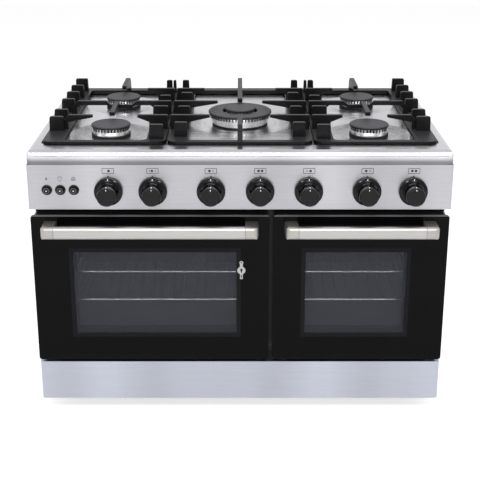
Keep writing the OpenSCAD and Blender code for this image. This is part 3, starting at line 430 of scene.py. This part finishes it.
def band(outer, inner, centre, front, back):
    """A flat ring between two outlines of as many points, as a closed tube of oblong section."""
    rings = [upright(outer, centre, front), upright(inner, centre, front),
             upright(inner, centre, back), upright(outer, centre, back)]
    return (np.stack(rings), True)


def on_panel(outline, centre):
    """A printed shape: a plate that stands a little way out of the panel's face."""
    return plate(outline, centre, front_y + INK_OUT, front_y + INK_IN)


def line_on_panel(outer, inner, centre):
    """A printed outline between two shapes of as many points."""
    return band(outer, inner, centre, front_y + INK_OUT, front_y + INK_IN)


# The broad upright stripes on the panel are painted reflection.
dress(["control_panel"], brushed_metal("brushed_stainless_panel", "#aaaaae", 0.34, "X", painted_reflection=0.2))
solid_marks, thin_marks = [], []
icon_outer = box_outline(ICON_W, ICON_H, ICON_R)
icon_inner = box_outline(ICON_W - 2 * ICON_LINE, ICON_H - 2 * ICON_LINE, ICON_INNER_R)
for i, dots in BURNER_DOTS.items():
    low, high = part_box(f"knob_{i}")
    x = (low[0] + high[0]) / 2
    thin_marks.append(line_on_panel(icon_outer, icon_inner, (x, ICON_Z)))
    solid_marks += [on_panel(round_outline(radius * MM), (x + across * MM, ICON_Z))
                    for across, radius in dots]
    solid_marks.append(on_panel(round_outline(DOT_R), (x, DOT_Z)))

button_x = [sum(corner[0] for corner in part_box(f"button_{i}")) / 2 for i in range(1, 4)]
star = round_outline(1.0, 8) * np.where(np.arange(8) % 2 == 0, 1.0, SPARK_WAIST)[:, None]
solid_marks.append(on_panel(star * SPARK_SIZE, (button_x[0], BUTTON_ICON_Z)))
# The lamp's outline is a round box that narrows from its shoulders to its cap.
bulb_lines = [box_outline(BULB_W, BULB_H, 4.0 * MM),
              box_outline(BULB_W - 2 * BULB_LINE, BULB_H - 2 * BULB_LINE, 3.2 * MM)]
for shape in bulb_lines:
    shape[:, 0] *= np.interp(shape[:, 1], [-BULB_H / 2, 2 * MM], [BULB_NECK, 1.0])
thin_marks.append(line_on_panel(*bulb_lines, (button_x[1], BUTTON_ICON_Z)))
thin_marks.append(line_on_panel(round_outline(FAN_R), round_outline(FAN_R - FAN_LINE),
                                (button_x[2], BUTTON_ICON_Z)))
blade = box_outline(BLADE_W, BLADE_H, 0.6 * MM, 3) + np.array([0, BLADE_OUT])
for turn in np.radians([0, 120, 240]):
    spin = np.array([[np.cos(turn), np.sin(turn)], [-np.sin(turn), np.cos(turn)]])
    solid_marks.append(on_panel(blade @ spin, (button_x[2], BUTTON_ICON_Z)))
shells("panel_print_solid", solid_marks, "cooker", screen_print("near_black_ink", "#1a1a1b"))
shells("panel_print_lines", thin_marks, "cooker", screen_print("dark_grey_ink", "#39393b"))


# ---- Knobs and buttons ----
# Moulded black plastic: a polished skirt and grip, and a finely textured face that looks greyer. The three
# white dashes are given in millimetres: on the face and the skirt by their heights over the axis, and on
# top of the grip by their distances out of the panel.
KNOB_GRIT, GRIT_DEPTH = 0.7 * MM, 0.05 * MM
FACE_DEPTH = 1.0 * MM
POLISHED, TEXTURED = 0.08, 0.45
FACE_DASH, SKIRT_DASH, GRIP_DASH = (14.5, 17.3), (26.6, 29.2), (35, 42)
DASH_W, DASH_RISE, DASH_BED, DASH_STEPS = 1.5 * MM, 0.2 * MM, 0.3 * MM, 6
RAY_START = 1.0
RAY_ASIDE = 0.9 * MM
knob_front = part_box("knob_1")[0][1]

black_plastic, tree = new_finish("moulded_black_plastic")
place = add(tree, "ShaderNodeTexCoord").outputs["Object"]
depth = add(tree, "ShaderNodeSeparateXYZ", {"Vector": place}).outputs["Y"]
grit = add(tree, "ShaderNodeTexNoise", {"Vector": place, "Scale": 1 / KNOB_GRIT, "Detail": 2.0})
face = add(tree, "ShaderNodeMath", {0: depth, 1: knob_front + FACE_DEPTH}, operation="LESS_THAN")
rough = add(tree, "ShaderNodeMapRange", {"Value": face.outputs[0], "To Min": POLISHED, "To Max": TEXTURED})
tint = add(tree, "ShaderNodeMix",
           {FACTOR: face.outputs[0], FIRST: linear("#040405"), SECOND: linear("#0a0a0b")}, data_type="RGBA")
deep = add(tree, "ShaderNodeMath", {0: face.outputs[0], 1: grit.outputs["Fac"]}, operation="MULTIPLY")
bump = add(tree, "ShaderNodeBump", {"Height": deep.outputs[0], "Strength": 0.3, "Distance": GRIT_DEPTH})
shade = add(tree, "ShaderNodeBsdfPrincipled",
            {"Base Color": tint.outputs[MIXED], "Roughness": rough.outputs[0], "Normal": bump.outputs[0],
             "Specular IOR Level": 0.2})
add(tree, "ShaderNodeOutputMaterial", {"Surface": shade.outputs[0]})
dress([f"knob_{i}" for i in range(1, 8)], black_plastic)
dress(["button_bezels", "button_1", "button_2", "button_3"], black_plastic)


def first_hits(node, starts, direction):
    """Where rays from the starts first meet the mesh of a CAD node, as an array of points."""
    mesh = cad[node].data
    skin = BVHTree.FromPolygons([v.co for v in mesh.vertices], [p.vertices for p in mesh.polygons])
    return np.array([skin.ray_cast(Vector(start), Vector(direction))[0] for start in starts])


def front_of(node, x, heights):
    """How far back the front of a CAD node lies at x and each height."""
    return first_hits(node, [(x, -RAY_START, z) for z in heights], (0, 1, 0))[:, 1]


def top_of(node, x, depths):
    """How high the top of a CAD node lies at x and each depth."""
    return first_hits(node, [(x, y, RAY_START) for y in depths], (0, 0, -1))[:, 2]


white_print = screen_print("white_index_paint", "#f2f2f2")
sides = np.array([-DASH_W / 2, DASH_W / 2, DASH_W / 2, -DASH_W / 2])
for i in range(1, 8):
    low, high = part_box(f"knob_{i}")
    centre_x, centre_z = (low[0] + high[0]) / 2, (low[2] + high[2]) / 2
    across = np.broadcast_to(centre_x + sides, (DASH_STEPS, 4))
    dashes = []
    for start, end in (FACE_DASH, SKIRT_DASH):
        up = centre_z + np.linspace(start, end, DASH_STEPS) * MM
        skin = front_of(f"knob_{i}", centre_x + RAY_ASIDE, up)
        out = skin[:, None] + np.array([-DASH_RISE, -DASH_RISE, DASH_BED, DASH_BED])
        dashes.append((np.stack([across, out, np.broadcast_to(up[:, None], out.shape)], -1), False))
    back = front_y - np.linspace(*GRIP_DASH, DASH_STEPS) * MM
    skin = top_of(f"knob_{i}", centre_x + RAY_ASIDE, back)
    out = skin[:, None] + np.array([-DASH_BED, -DASH_BED, DASH_RISE, DASH_RISE])
    dashes.append((np.stack([across, np.broadcast_to(back[:, None], out.shape), out], -1), False))
    shells(f"knob_index_{i}", dashes, f"knob_{i}", white_print)

# Each button has a satin ring pressed into its face, and a pale dot in the middle, a painted highlight.
RING_OUT, RING_IN, RING_PROUD = 6.6 * MM, 4.9 * MM, 0.35 * MM
HIGHLIGHT_DOT_R, HIGHLIGHT_DOT_PROUD, BUTTON_BED = 1.7 * MM, 0.3 * MM, 0.3 * MM
RING_ASIDE, HIGHLIGHT_ASIDE = 5.6 * MM, 0.5 * MM
ring_grey = screen_print("satin_grey_ring", "#4a4a4c", 0.35)
highlight_paint = screen_print("painted_highlight", "#b9b9bc", 0.25)
for i in range(1, 4):
    low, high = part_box(f"button_{i}")
    centre = ((low[0] + high[0]) / 2, (low[2] + high[2]) / 2)
    skin = front_of(f"button_{i}", centre[0] + RING_ASIDE, [centre[1]])[0]
    ring = band(round_outline(RING_OUT, 32), round_outline(RING_IN, 32), centre, skin - RING_PROUD,
                skin + BUTTON_BED)
    shells(f"button_ring_{i}", [ring], f"button_{i}", ring_grey)
    skin = front_of(f"button_{i}", centre[0] + HIGHLIGHT_ASIDE, [centre[1]])[0]
    dot = plate(round_outline(HIGHLIGHT_DOT_R, 20), centre, skin - HIGHLIGHT_DOT_PROUD, skin + BUTTON_BED)
    shells(f"button_painted_highlight_{i}", [dot], f"button_{i}", highlight_paint)


# ---- Door glass ----
# Each door is faced with one pane of 5 mm black toughened glass. Its back is screen printed black, with a
# clear window edged by a band of fine dots; the window's grey tint is a painted reflection. Its rim is
# ground, and the top edge is painted paler, partly the ground glass's own colour and partly a painted
# highlight.
PRINT_BAND = 9 * MM
RIM = 2.4 * MM
PANE_OVERLAP = 4 * MM
PRINT, DOTTED, PAINTED_WINDOW_REFLECTION, GROUND_RIM_AND_HIGHLIGHT = "#060606", "#141417", "#3b3d45", "#5c5c5e"
SMOOTH_GLASS, GROUND_GLASS = 0.04, 0.4
WINDOW_ALPHA = 0.35
GLASS_SPECULAR = 0.06


def door_glass(side):
    """Black glass whose alpha falls inside the window: a box distance from the window's middle tells the
    print, the dotted band and the clear pane apart."""
    finish, tree = new_finish(f"black_printed_glass_{side}")
    low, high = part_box(f"inner_glass_{side}")
    middle = [(low[k] + high[k]) / 2 for k in range(3)]
    half = [(high[0] - low[0]) / 2 - PANE_OVERLAP, 1.0, (high[2] - low[2]) / 2 - PANE_OVERLAP]
    place = add(tree, "ShaderNodeTexCoord").outputs["Object"]
    inward = add(tree, "ShaderNodeVectorMath", {0: place, 1: middle}, operation="SUBTRACT")
    inward = add(tree, "ShaderNodeVectorMath", {0: inward.outputs[0]}, operation="ABSOLUTE")
    inward = add(tree, "ShaderNodeVectorMath", {0: inward.outputs[0], 1: half}, operation="SUBTRACT")
    parts = add(tree, "ShaderNodeSeparateXYZ", {"Vector": inward.outputs[0]})
    gap = add(tree, "ShaderNodeMath", {0: parts.outputs["X"], 1: parts.outputs["Z"]}, operation="MAXIMUM")
    clear = add(tree, "ShaderNodeMath", {0: gap.outputs[0], 1: -PRINT_BAND}, operation="LESS_THAN")
    dotted = add(tree, "ShaderNodeMath", {0: gap.outputs[0], 1: 0.0}, operation="LESS_THAN")
    height = add(tree, "ShaderNodeSeparateXYZ", {"Vector": place}).outputs["Z"]
    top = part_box(f"door_glass_{side}")[1][2]
    # The top of the pane is painted a paler grey, partly the ground glass's own colour and partly a painted
    # highlight.
    rim_highlight = add(tree, "ShaderNodeMath", {0: height, 1: top - RIM}, operation="GREATER_THAN")
    tint = add(tree, "ShaderNodeMix",
               {FACTOR: dotted.outputs[0], FIRST: linear(PRINT), SECOND: linear(DOTTED)}, data_type="RGBA")
    # The clear window takes a grey that is a painted reflection over the view into the oven.
    tint = add(tree, "ShaderNodeMix",
               {FACTOR: clear.outputs[0], FIRST: tint.outputs[MIXED], SECOND: linear(PAINTED_WINDOW_REFLECTION)},
               data_type="RGBA")
    tint = add(tree, "ShaderNodeMix",
               {FACTOR: rim_highlight.outputs[0], FIRST: tint.outputs[MIXED], SECOND: linear(GROUND_RIM_AND_HIGHLIGHT)}, data_type="RGBA")
    rough = add(tree, "ShaderNodeMapRange",
                {"Value": rim_highlight.outputs[0], "To Min": SMOOTH_GLASS, "To Max": GROUND_GLASS})
    solid = add(tree, "ShaderNodeMapRange",
                {"Value": clear.outputs[0], "To Min": 1.0, "To Max": WINDOW_ALPHA})
    shade = add(tree, "ShaderNodeBsdfPrincipled",
                {"Base Color": tint.outputs[MIXED], "Roughness": rough.outputs[0], "Alpha": solid.outputs[0],
                 "Specular IOR Level": GLASS_SPECULAR})
    add(tree, "ShaderNodeOutputMaterial", {"Surface": shade.outputs[0]})
    return finish


inner_pane, tree = new_finish("clear_toughened_glass")
shade = add(tree, "ShaderNodeBsdfPrincipled",
            {"Base Color": linear("#d5dadf"), "Roughness": 0.03, "Alpha": 0.06,
             "Specular IOR Level": GLASS_SPECULAR})
add(tree, "ShaderNodeOutputMaterial", {"Surface": shade.outputs[0]})
for side in ("left", "right"):
    dress([f"door_glass_{side}"], door_glass(side))
    dress([f"inner_glass_{side}"], inner_pane)


# ---- Handles and keyhole plate ----
# The bars are drawn zinc alloy in satin nickel, brushed along their length, and the elbows are cast and
# plated to match. A thin black ring at each end of the bar is painted shade for the dark seam between bar and
# elbow. The keyhole plate is bright nickel.
SEAM_SHADE_T, SEAM_SHADE_IN = 0.9 * MM, 0.25 * MM
SEAM_SHADE_FLAT = 0.01 * MM  # the shortest straight stretch between the round ends of a shade ring
BAR_PITCH, BAR_SCRATCH = 0.8 * MM, 0.0006 * MM
seam_shade_black = screen_print("black_painted_seam_shade", "#0d0d0e")
bar_nickel = brushed_metal("satin_nickel_bars", "#a6a4a2", 0.4, "X", BAR_PITCH, 60 * MM, BAR_SCRATCH)
end_nickel = brushed_metal("satin_nickel_elbows", "#9f9d99", 0.42, "Z", 1.0 * MM, 30 * MM)
for side in ("left", "right"):
    dress([f"handle_bar_{side}"], bar_nickel)
    dress([f"handle_ends_{side}"], end_nickel)
    low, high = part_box(f"handle_bar_{side}")
    depth, height = high[1] - low[1] - 2 * SEAM_SHADE_IN, high[2] - low[2] - 2 * SEAM_SHADE_IN
    flat = box_outline(depth, height, depth / 2 - SEAM_SHADE_FLAT)
    ring = np.stack([np.zeros(len(flat)), flat[:, 0] + (low[1] + high[1]) / 2,
                     flat[:, 1] + (low[2] + high[2]) / 2], -1)
    seam_shades = [(np.stack([ring + (x, 0, 0), ring + (x + SEAM_SHADE_T, 0, 0)]), False)
               for x in (low[0], high[0] - SEAM_SHADE_T)]
    shells(f"handle_seam_shade_{side}", seam_shades, f"door_{side}", seam_shade_black)
dress(["keyhole_plate"], brushed_metal("bright_nickel_plate", "#9b9b98", 0.25, "X", 0.8 * MM, 20 * MM))


# ---- Front frame, door pans and clips ----
# The frame round the ovens and the deep pan behind each door's glass are steel in gloss black enamel.
# Four stainless clips, each with a screw, hold the inner pane from the oven's side, so they show when the
# door is down.
CLIP_W, CLIP_H, CLIP_T, CLIP_R, CLIP_BED = 26 * MM, 15 * MM, 1.2 * MM, 2 * MM, 0.2 * MM
CLIP_FROM_SIDE, CLIP_FROM_EDGE = 60 * MM, 4 * MM
SCREW_R, SCREW_H = 3.6 * MM, 1.8 * MM
PAN_HEAD = np.array([(1.0, -0.2), (1.0, 0.45), (0.86, 0.85), (0.6, 1.0), (0.36, 1.0), (0.28, 0.35)])
# Faces of the frame and pans that look up are painted a shade lighter, a painted highlight.
gloss_black = enamel("gloss_black_enamel", "#101011", "#1a1a1b", 0.3, 4 * MM, 0.02 * MM, 0.3)
dress(["front_frame", "door_pan_left", "door_pan_right"], gloss_black)


def screw_head(centre, axis, radius, height):
    """A pan head with a round recess: rings of radius r at height h out along axis (0, 1 or 2, and its
    sign), for the pairs (r, h) of PAN_HEAD, which are shares of the head's radius and height."""
    line, sign = axis
    turn = np.linspace(0, 2 * np.pi, 16, endpoint=False)
    rings = np.zeros((len(PAN_HEAD), len(turn), 3))
    rings[..., (line + 1) % 3] = radius * PAN_HEAD[:, :1] * np.cos(turn)
    rings[..., (line + 2) % 3] = radius * PAN_HEAD[:, :1] * np.sin(turn) * sign
    rings[..., line] = sign * height * PAN_HEAD[:, 1:]
    return (rings + np.asarray(centre), False)


screw_zinc = brushed_metal("bright_zinc_screws", "#c3c6c9", 0.3, "Z", 0.8 * MM, 6 * MM)
clip_steel = brushed_metal("pressed_stainless_clips", "#c8c8ca", 0.32, "X", 0.8 * MM, 20 * MM)
clip_outline = box_outline(CLIP_W, CLIP_H, CLIP_R)
for side in ("left", "right"):
    low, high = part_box(f"inner_glass_{side}")
    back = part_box(f"door_pan_{side}")[1][1]
    spots = [(x, z) for x in (low[0] + CLIP_FROM_SIDE, high[0] - CLIP_FROM_SIDE)
             for z in (low[2] + CLIP_FROM_EDGE, high[2] - CLIP_FROM_EDGE)]
    clips = [plate(clip_outline, spot, back - CLIP_BED, back + CLIP_T) for spot in spots]
    shells(f"glass_clips_{side}", clips, f"door_{side}", clip_steel)
    heads = [screw_head((x, back + CLIP_T, z), (1, 1), SCREW_R, SCREW_H) for x, z in spots]
    shells(f"clip_screws_{side}", heads, f"door_{side}", screw_zinc, True)


# ---- Oven racks and shelf guides ----
# Drawn steel wire, welded and bright chrome plated. The plating is smooth, with a slow ripple.
CHROME_RIPPLE = 6 * MM
chrome, tree = new_finish("bright_chrome_wire")
place = add(tree, "ShaderNodeTexCoord").outputs["Object"]
ripple = add(tree, "ShaderNodeTexNoise", {"Vector": place, "Scale": 1 / CHROME_RIPPLE, "Detail": 1.0})
rough = add(tree, "ShaderNodeMapRange", {"Value": ripple.outputs["Fac"], "To Min": 0.1, "To Max": 0.24})
shade = add(tree, "ShaderNodeBsdfPrincipled",
            {"Base Color": linear("#e6e7e9"), "Metallic": 1.0, "Roughness": rough.outputs[0]})
add(tree, "ShaderNodeOutputMaterial", {"Surface": shade.outputs[0]})
dress(["shelf_guides", "rack_left_lower", "rack_left_upper", "rack_right_lower", "rack_right_upper"], chrome)


# ---- Oven liners and lamps ----
# The liners are sheet steel in speckled grey vitreous enamel, fired on in two coats. Each has a lamp behind a
# moulded glass lens with a chromed ring, screwed into the back wall.
SPECK_PITCH, SPECK_SHARE = 3 * MM, 0.22
ENAMEL_RIPPLE, RIPPLE_DEPTH = 12 * MM, 0.05 * MM
LENS_R, LENS_RISE, RING_R, RING_RISE = 23 * MM, 10 * MM, 28 * MM, 4 * MM
RIB_WIDTH, RIB_DEPTH = 40 * MM, 0.4 * MM
RING_BEVEL = 1.2 * MM
LAMP_IN, LAMP_DOWN = 80 * MM, 70 * MM
WALL_T, WALL_BED = 1.5 * MM, 0.2 * MM

liner_enamel, tree = new_finish("speckled_grey_enamel")
place = add(tree, "ShaderNodeTexCoord").outputs["Object"]
specks = add(tree, "ShaderNodeTexVoronoi", {"Vector": place, "Scale": 1 / SPECK_PITCH})
dot = add(tree, "ShaderNodeMath", {0: specks.outputs["Distance"], 1: SPECK_SHARE}, operation="LESS_THAN")
tint = add(tree, "ShaderNodeMix",
           {FACTOR: dot.outputs[0], FIRST: linear("#46474b"), SECOND: linear("#9b9ca1")}, data_type="RGBA")
ripple = add(tree, "ShaderNodeTexNoise", {"Vector": place, "Scale": 1 / ENAMEL_RIPPLE, "Detail": 1.0})
bump = add(tree, "ShaderNodeBump",
           {"Height": ripple.outputs["Fac"], "Strength": 0.4, "Distance": RIPPLE_DEPTH})
shade = add(tree, "ShaderNodeBsdfPrincipled",
            {"Base Color": tint.outputs[MIXED], "Roughness": 0.3, "Normal": bump.outputs[0]})
add(tree, "ShaderNodeOutputMaterial", {"Surface": shade.outputs[0]})
dress(["oven_liner_left", "oven_liner_right"], liner_enamel)


def lathe_forwards(centre, profile, count=40):
    """A body turned about a line along Y through centre: rings of radius r at a distance h forwards, for the
    pairs (r, h) of the profile, from its rim to its middle."""
    profile = np.asarray(profile)
    turn = np.linspace(0, 2 * np.pi, count, endpoint=False)
    depths = np.broadcast_to(-profile[:, 1:], (len(profile), count))
    rings = np.stack([profile[:, :1] * np.cos(turn), depths, profile[:, :1] * np.sin(turn)], -1)
    return (rings + np.asarray(centre), False)


lens_glass, tree = new_finish("moulded_lens_glass")
place = add(tree, "ShaderNodeTexCoord").outputs["Object"]
ribs = add(tree, "ShaderNodeTexWave", {"Vector": place, "Scale": 1 / RIB_WIDTH}, bands_direction="X")
bump = add(tree, "ShaderNodeBump", {"Height": ribs.outputs["Fac"], "Strength": 0.5, "Distance": RIB_DEPTH})
shade = add(tree, "ShaderNodeBsdfPrincipled",
            {"Base Color": linear("#f2efe2"), "Roughness": 0.12, "Normal": bump.outputs[0]})
add(tree, "ShaderNodeOutputMaterial", {"Surface": shade.outputs[0]})

# The lens is a flattened dome on a short rim, and the ring steps down over the edge of the lens.
arc = np.linspace(0, np.pi / 2, 10)[:-1]
dome = np.stack([LENS_R * np.cos(arc), RING_RISE / 2 + LENS_RISE * np.sin(arc)], -1)
lens_profile = [(LENS_R, 0), *dome, (0.5 * MM, RING_RISE / 2 + LENS_RISE)]
ring_profile = [(RING_R, 0), (RING_R, 0.6 * RING_RISE), (RING_R - RING_BEVEL, RING_RISE),
                (LENS_R + 1 * MM, RING_RISE), (LENS_R - 0.5 * MM, 0.5 * RING_RISE)]
for side in ("left", "right"):
    low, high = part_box(f"oven_liner_{side}")
    centre = (high[0] - LAMP_IN, high[1] - WALL_T + WALL_BED, high[2] - LAMP_DOWN)
    shells(f"lamp_lens_{side}", [lathe_forwards(centre, lens_profile)], "cooker", lens_glass, True)
    shells(f"lamp_ring_{side}", [lathe_forwards(centre, ring_profile)], "cooker", chrome, True)


# ---- Carcass, screws and feet ----
# Sides of folded sheet in grey powder coat, a bare galvanised back and base, a stainless plinth and black
# nylon feet. Pan head screws hold the sides and the back, placed by (y, z) on a side and by (x, z) on each
# half of the back.
SIDE_SCREWS = [(285 * MM, 80 * MM), (285 * MM, 300 * MM), (285 * MM, 520 * MM), (-215 * MM, 60 * MM)]
BACK_SCREWS = [(433 * MM, z * MM) for z in (70, 220, 370, 520)]
PANEL_SCREWS = [(x * MM, z * MM) for x in (50, 210, 370) for z in (55, 585)]
PEEL, PEEL_DEPTH = 1.8 * MM, 0.05 * MM
SPANGLE = 9 * MM
# The broad upright stripes on the plinth are painted reflection.
dress(["plinth"], brushed_metal("brushed_stainless_plinth", "#abaeb8", 0.34, "X", painted_reflection=0.18))


def powder_coat(name, code):
    """Powder coat: an even colour over the fine orange peel that the powder leaves, 1.8 mm across."""
    finish, tree = new_finish(name)
    place = add(tree, "ShaderNodeTexCoord").outputs["Object"]
    peel = add(tree, "ShaderNodeTexNoise", {"Vector": place, "Scale": 1 / PEEL, "Detail": 1.0})
    tint = add(tree, "ShaderNodeMix",
               {FACTOR: peel.outputs["Fac"], FIRST: shaded(code, 0.92), SECOND: shaded(code, 1.08)},
               data_type="RGBA")
    bump = add(tree, "ShaderNodeBump",
               {"Height": peel.outputs["Fac"], "Strength": 0.5, "Distance": PEEL_DEPTH})
    shade = add(tree, "ShaderNodeBsdfPrincipled",
                {"Base Color": tint.outputs[MIXED], "Roughness": 0.5, "Normal": bump.outputs[0],
                 "Specular IOR Level": 0.3})
    add(tree, "ShaderNodeOutputMaterial", {"Surface": shade.outputs[0]})
    return finish


dress(["side_panel_left", "side_panel_right"], powder_coat("grey_powder_coat", "#8c8e91"))
dress(["feet"], powder_coat("black_nylon", "#151516"))

zinc, tree = new_finish("galvanised_sheet")
place = add(tree, "ShaderNodeTexCoord").outputs["Object"]
spangle = add(tree, "ShaderNodeTexVoronoi", {"Vector": place, "Scale": 1 / SPANGLE})
tone = add(tree, "ShaderNodeSeparateColor", {"Color": spangle.outputs["Color"]})
tint = add(tree, "ShaderNodeMix",
           {FACTOR: tone.outputs[0], FIRST: linear("#9b9fa2"), SECOND: linear("#b6babd")}, data_type="RGBA")
rough = add(tree, "ShaderNodeMapRange", {"Value": tone.outputs[1], "To Min": 0.35, "To Max": 0.5})
shade = add(tree, "ShaderNodeBsdfPrincipled",
            {"Base Color": tint.outputs[MIXED], "Metallic": 1.0, "Roughness": rough.outputs[0]})
add(tree, "ShaderNodeOutputMaterial", {"Surface": shade.outputs[0]})
dress(["back_panel", "base_tray", "oven_burners", "hinge_brackets"], zinc)
dress([f"tap_spindle_{i}" for i in range(1, 8)], zinc)

sheet_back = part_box("back_panel")[0][1] + WALL_T
for side, sign in (("left", -1), ("right", 1)):
    low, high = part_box(f"side_panel_{side}")
    edge = low[0] if sign < 0 else high[0]
    heads = [screw_head((edge, y, z), (0, sign), SCREW_R, SCREW_H) for y, z in SIDE_SCREWS]
    heads += [screw_head((sign * x, high[1], z), (1, 1), SCREW_R, SCREW_H) for x, z in BACK_SCREWS]
    heads += [screw_head((sign * x, sheet_back, z), (1, 1), SCREW_R, SCREW_H) for x, z in PANEL_SCREWS]
    shells(f"case_screws_{side}", heads, "cooker", screw_zinc, True)


# ---- Gas rail and inlet ----
# Turned brass taps on a rail, and a pipe to the inlet at the back, whose half inch thread has 14 turns to the
# inch.
THREAD_PITCH = 25.4 * MM / 14
THREAD_LENGTH, THREAD_DEPTH = 17 * MM, 0.5 * MM
TURNING_MARKS = 2 * MM
inlet_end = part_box("gas_rail")[1][1]
brass, tree = new_finish("turned_brass")
place = add(tree, "ShaderNodeTexCoord").outputs["Object"]
marks = add(tree, "ShaderNodeTexNoise", {"Vector": place, "Scale": 1 / TURNING_MARKS, "Detail": 1.0})
rough = add(tree, "ShaderNodeMapRange", {"Value": marks.outputs["Fac"], "To Min": 0.25, "To Max": 0.45})
depth = add(tree, "ShaderNodeSeparateXYZ", {"Vector": place}).outputs["Y"]
turns = add(tree, "ShaderNodeMath", {0: depth, 1: 2 * np.pi / THREAD_PITCH}, operation="MULTIPLY")
ridge = add(tree, "ShaderNodeMath", {0: turns.outputs[0]}, operation="SINE")
threaded = add(tree, "ShaderNodeMath", {0: depth, 1: inlet_end - THREAD_LENGTH}, operation="GREATER_THAN")
ridge = add(tree, "ShaderNodeMath", {0: ridge.outputs[0], 1: threaded.outputs[0]}, operation="MULTIPLY")
bump = add(tree, "ShaderNodeBump", {"Height": ridge.outputs[0], "Strength": 1.0, "Distance": THREAD_DEPTH})
shade = add(tree, "ShaderNodeBsdfPrincipled",
            {"Base Color": linear("#c9a867"), "Metallic": 1.0, "Roughness": rough.outputs[0],
             "Normal": bump.outputs[0]})
add(tree, "ShaderNodeOutputMaterial", {"Surface": shade.outputs[0]})
dress(["gas_rail"], brass)


# ---- Door seals ----
# A round seal of woven glass yarn over a wire core, clipped round the mouth of each oven. The braid shows
# as short slanting ribs, 2.4 mm apart.
BRAID, BRAID_DEPTH = 2.4 * MM, 0.4 * MM
seal, tree = new_finish("woven_glass_seal")
place = add(tree, "ShaderNodeTexCoord").outputs["Object"]
slant = add(tree, "ShaderNodeMapping",
            {"Vector": place, "Rotation": (0, np.radians(45), 0), "Scale": (1 / BRAID, 1 / BRAID, 1 / BRAID)})
ribs = add(tree, "ShaderNodeTexWave", {"Vector": slant.outputs[0], "Scale": 0.5, "Distortion": 0.6},
           bands_direction="X")
tint = add(tree, "ShaderNodeMix",
           {FACTOR: ribs.outputs["Fac"], FIRST: linear("#141414"), SECOND: linear("#2a2a2a")},
           data_type="RGBA")
bump = add(tree, "ShaderNodeBump", {"Height": ribs.outputs["Fac"], "Strength": 0.7, "Distance": BRAID_DEPTH})
shade = add(tree, "ShaderNodeBsdfPrincipled",
            {"Base Color": tint.outputs[MIXED], "Roughness": 0.85, "Normal": bump.outputs[0],
             "Specular IOR Level": 0.2})
add(tree, "ShaderNodeOutputMaterial", {"Surface": shade.outputs[0]})
dress(["door_seals"], seal)
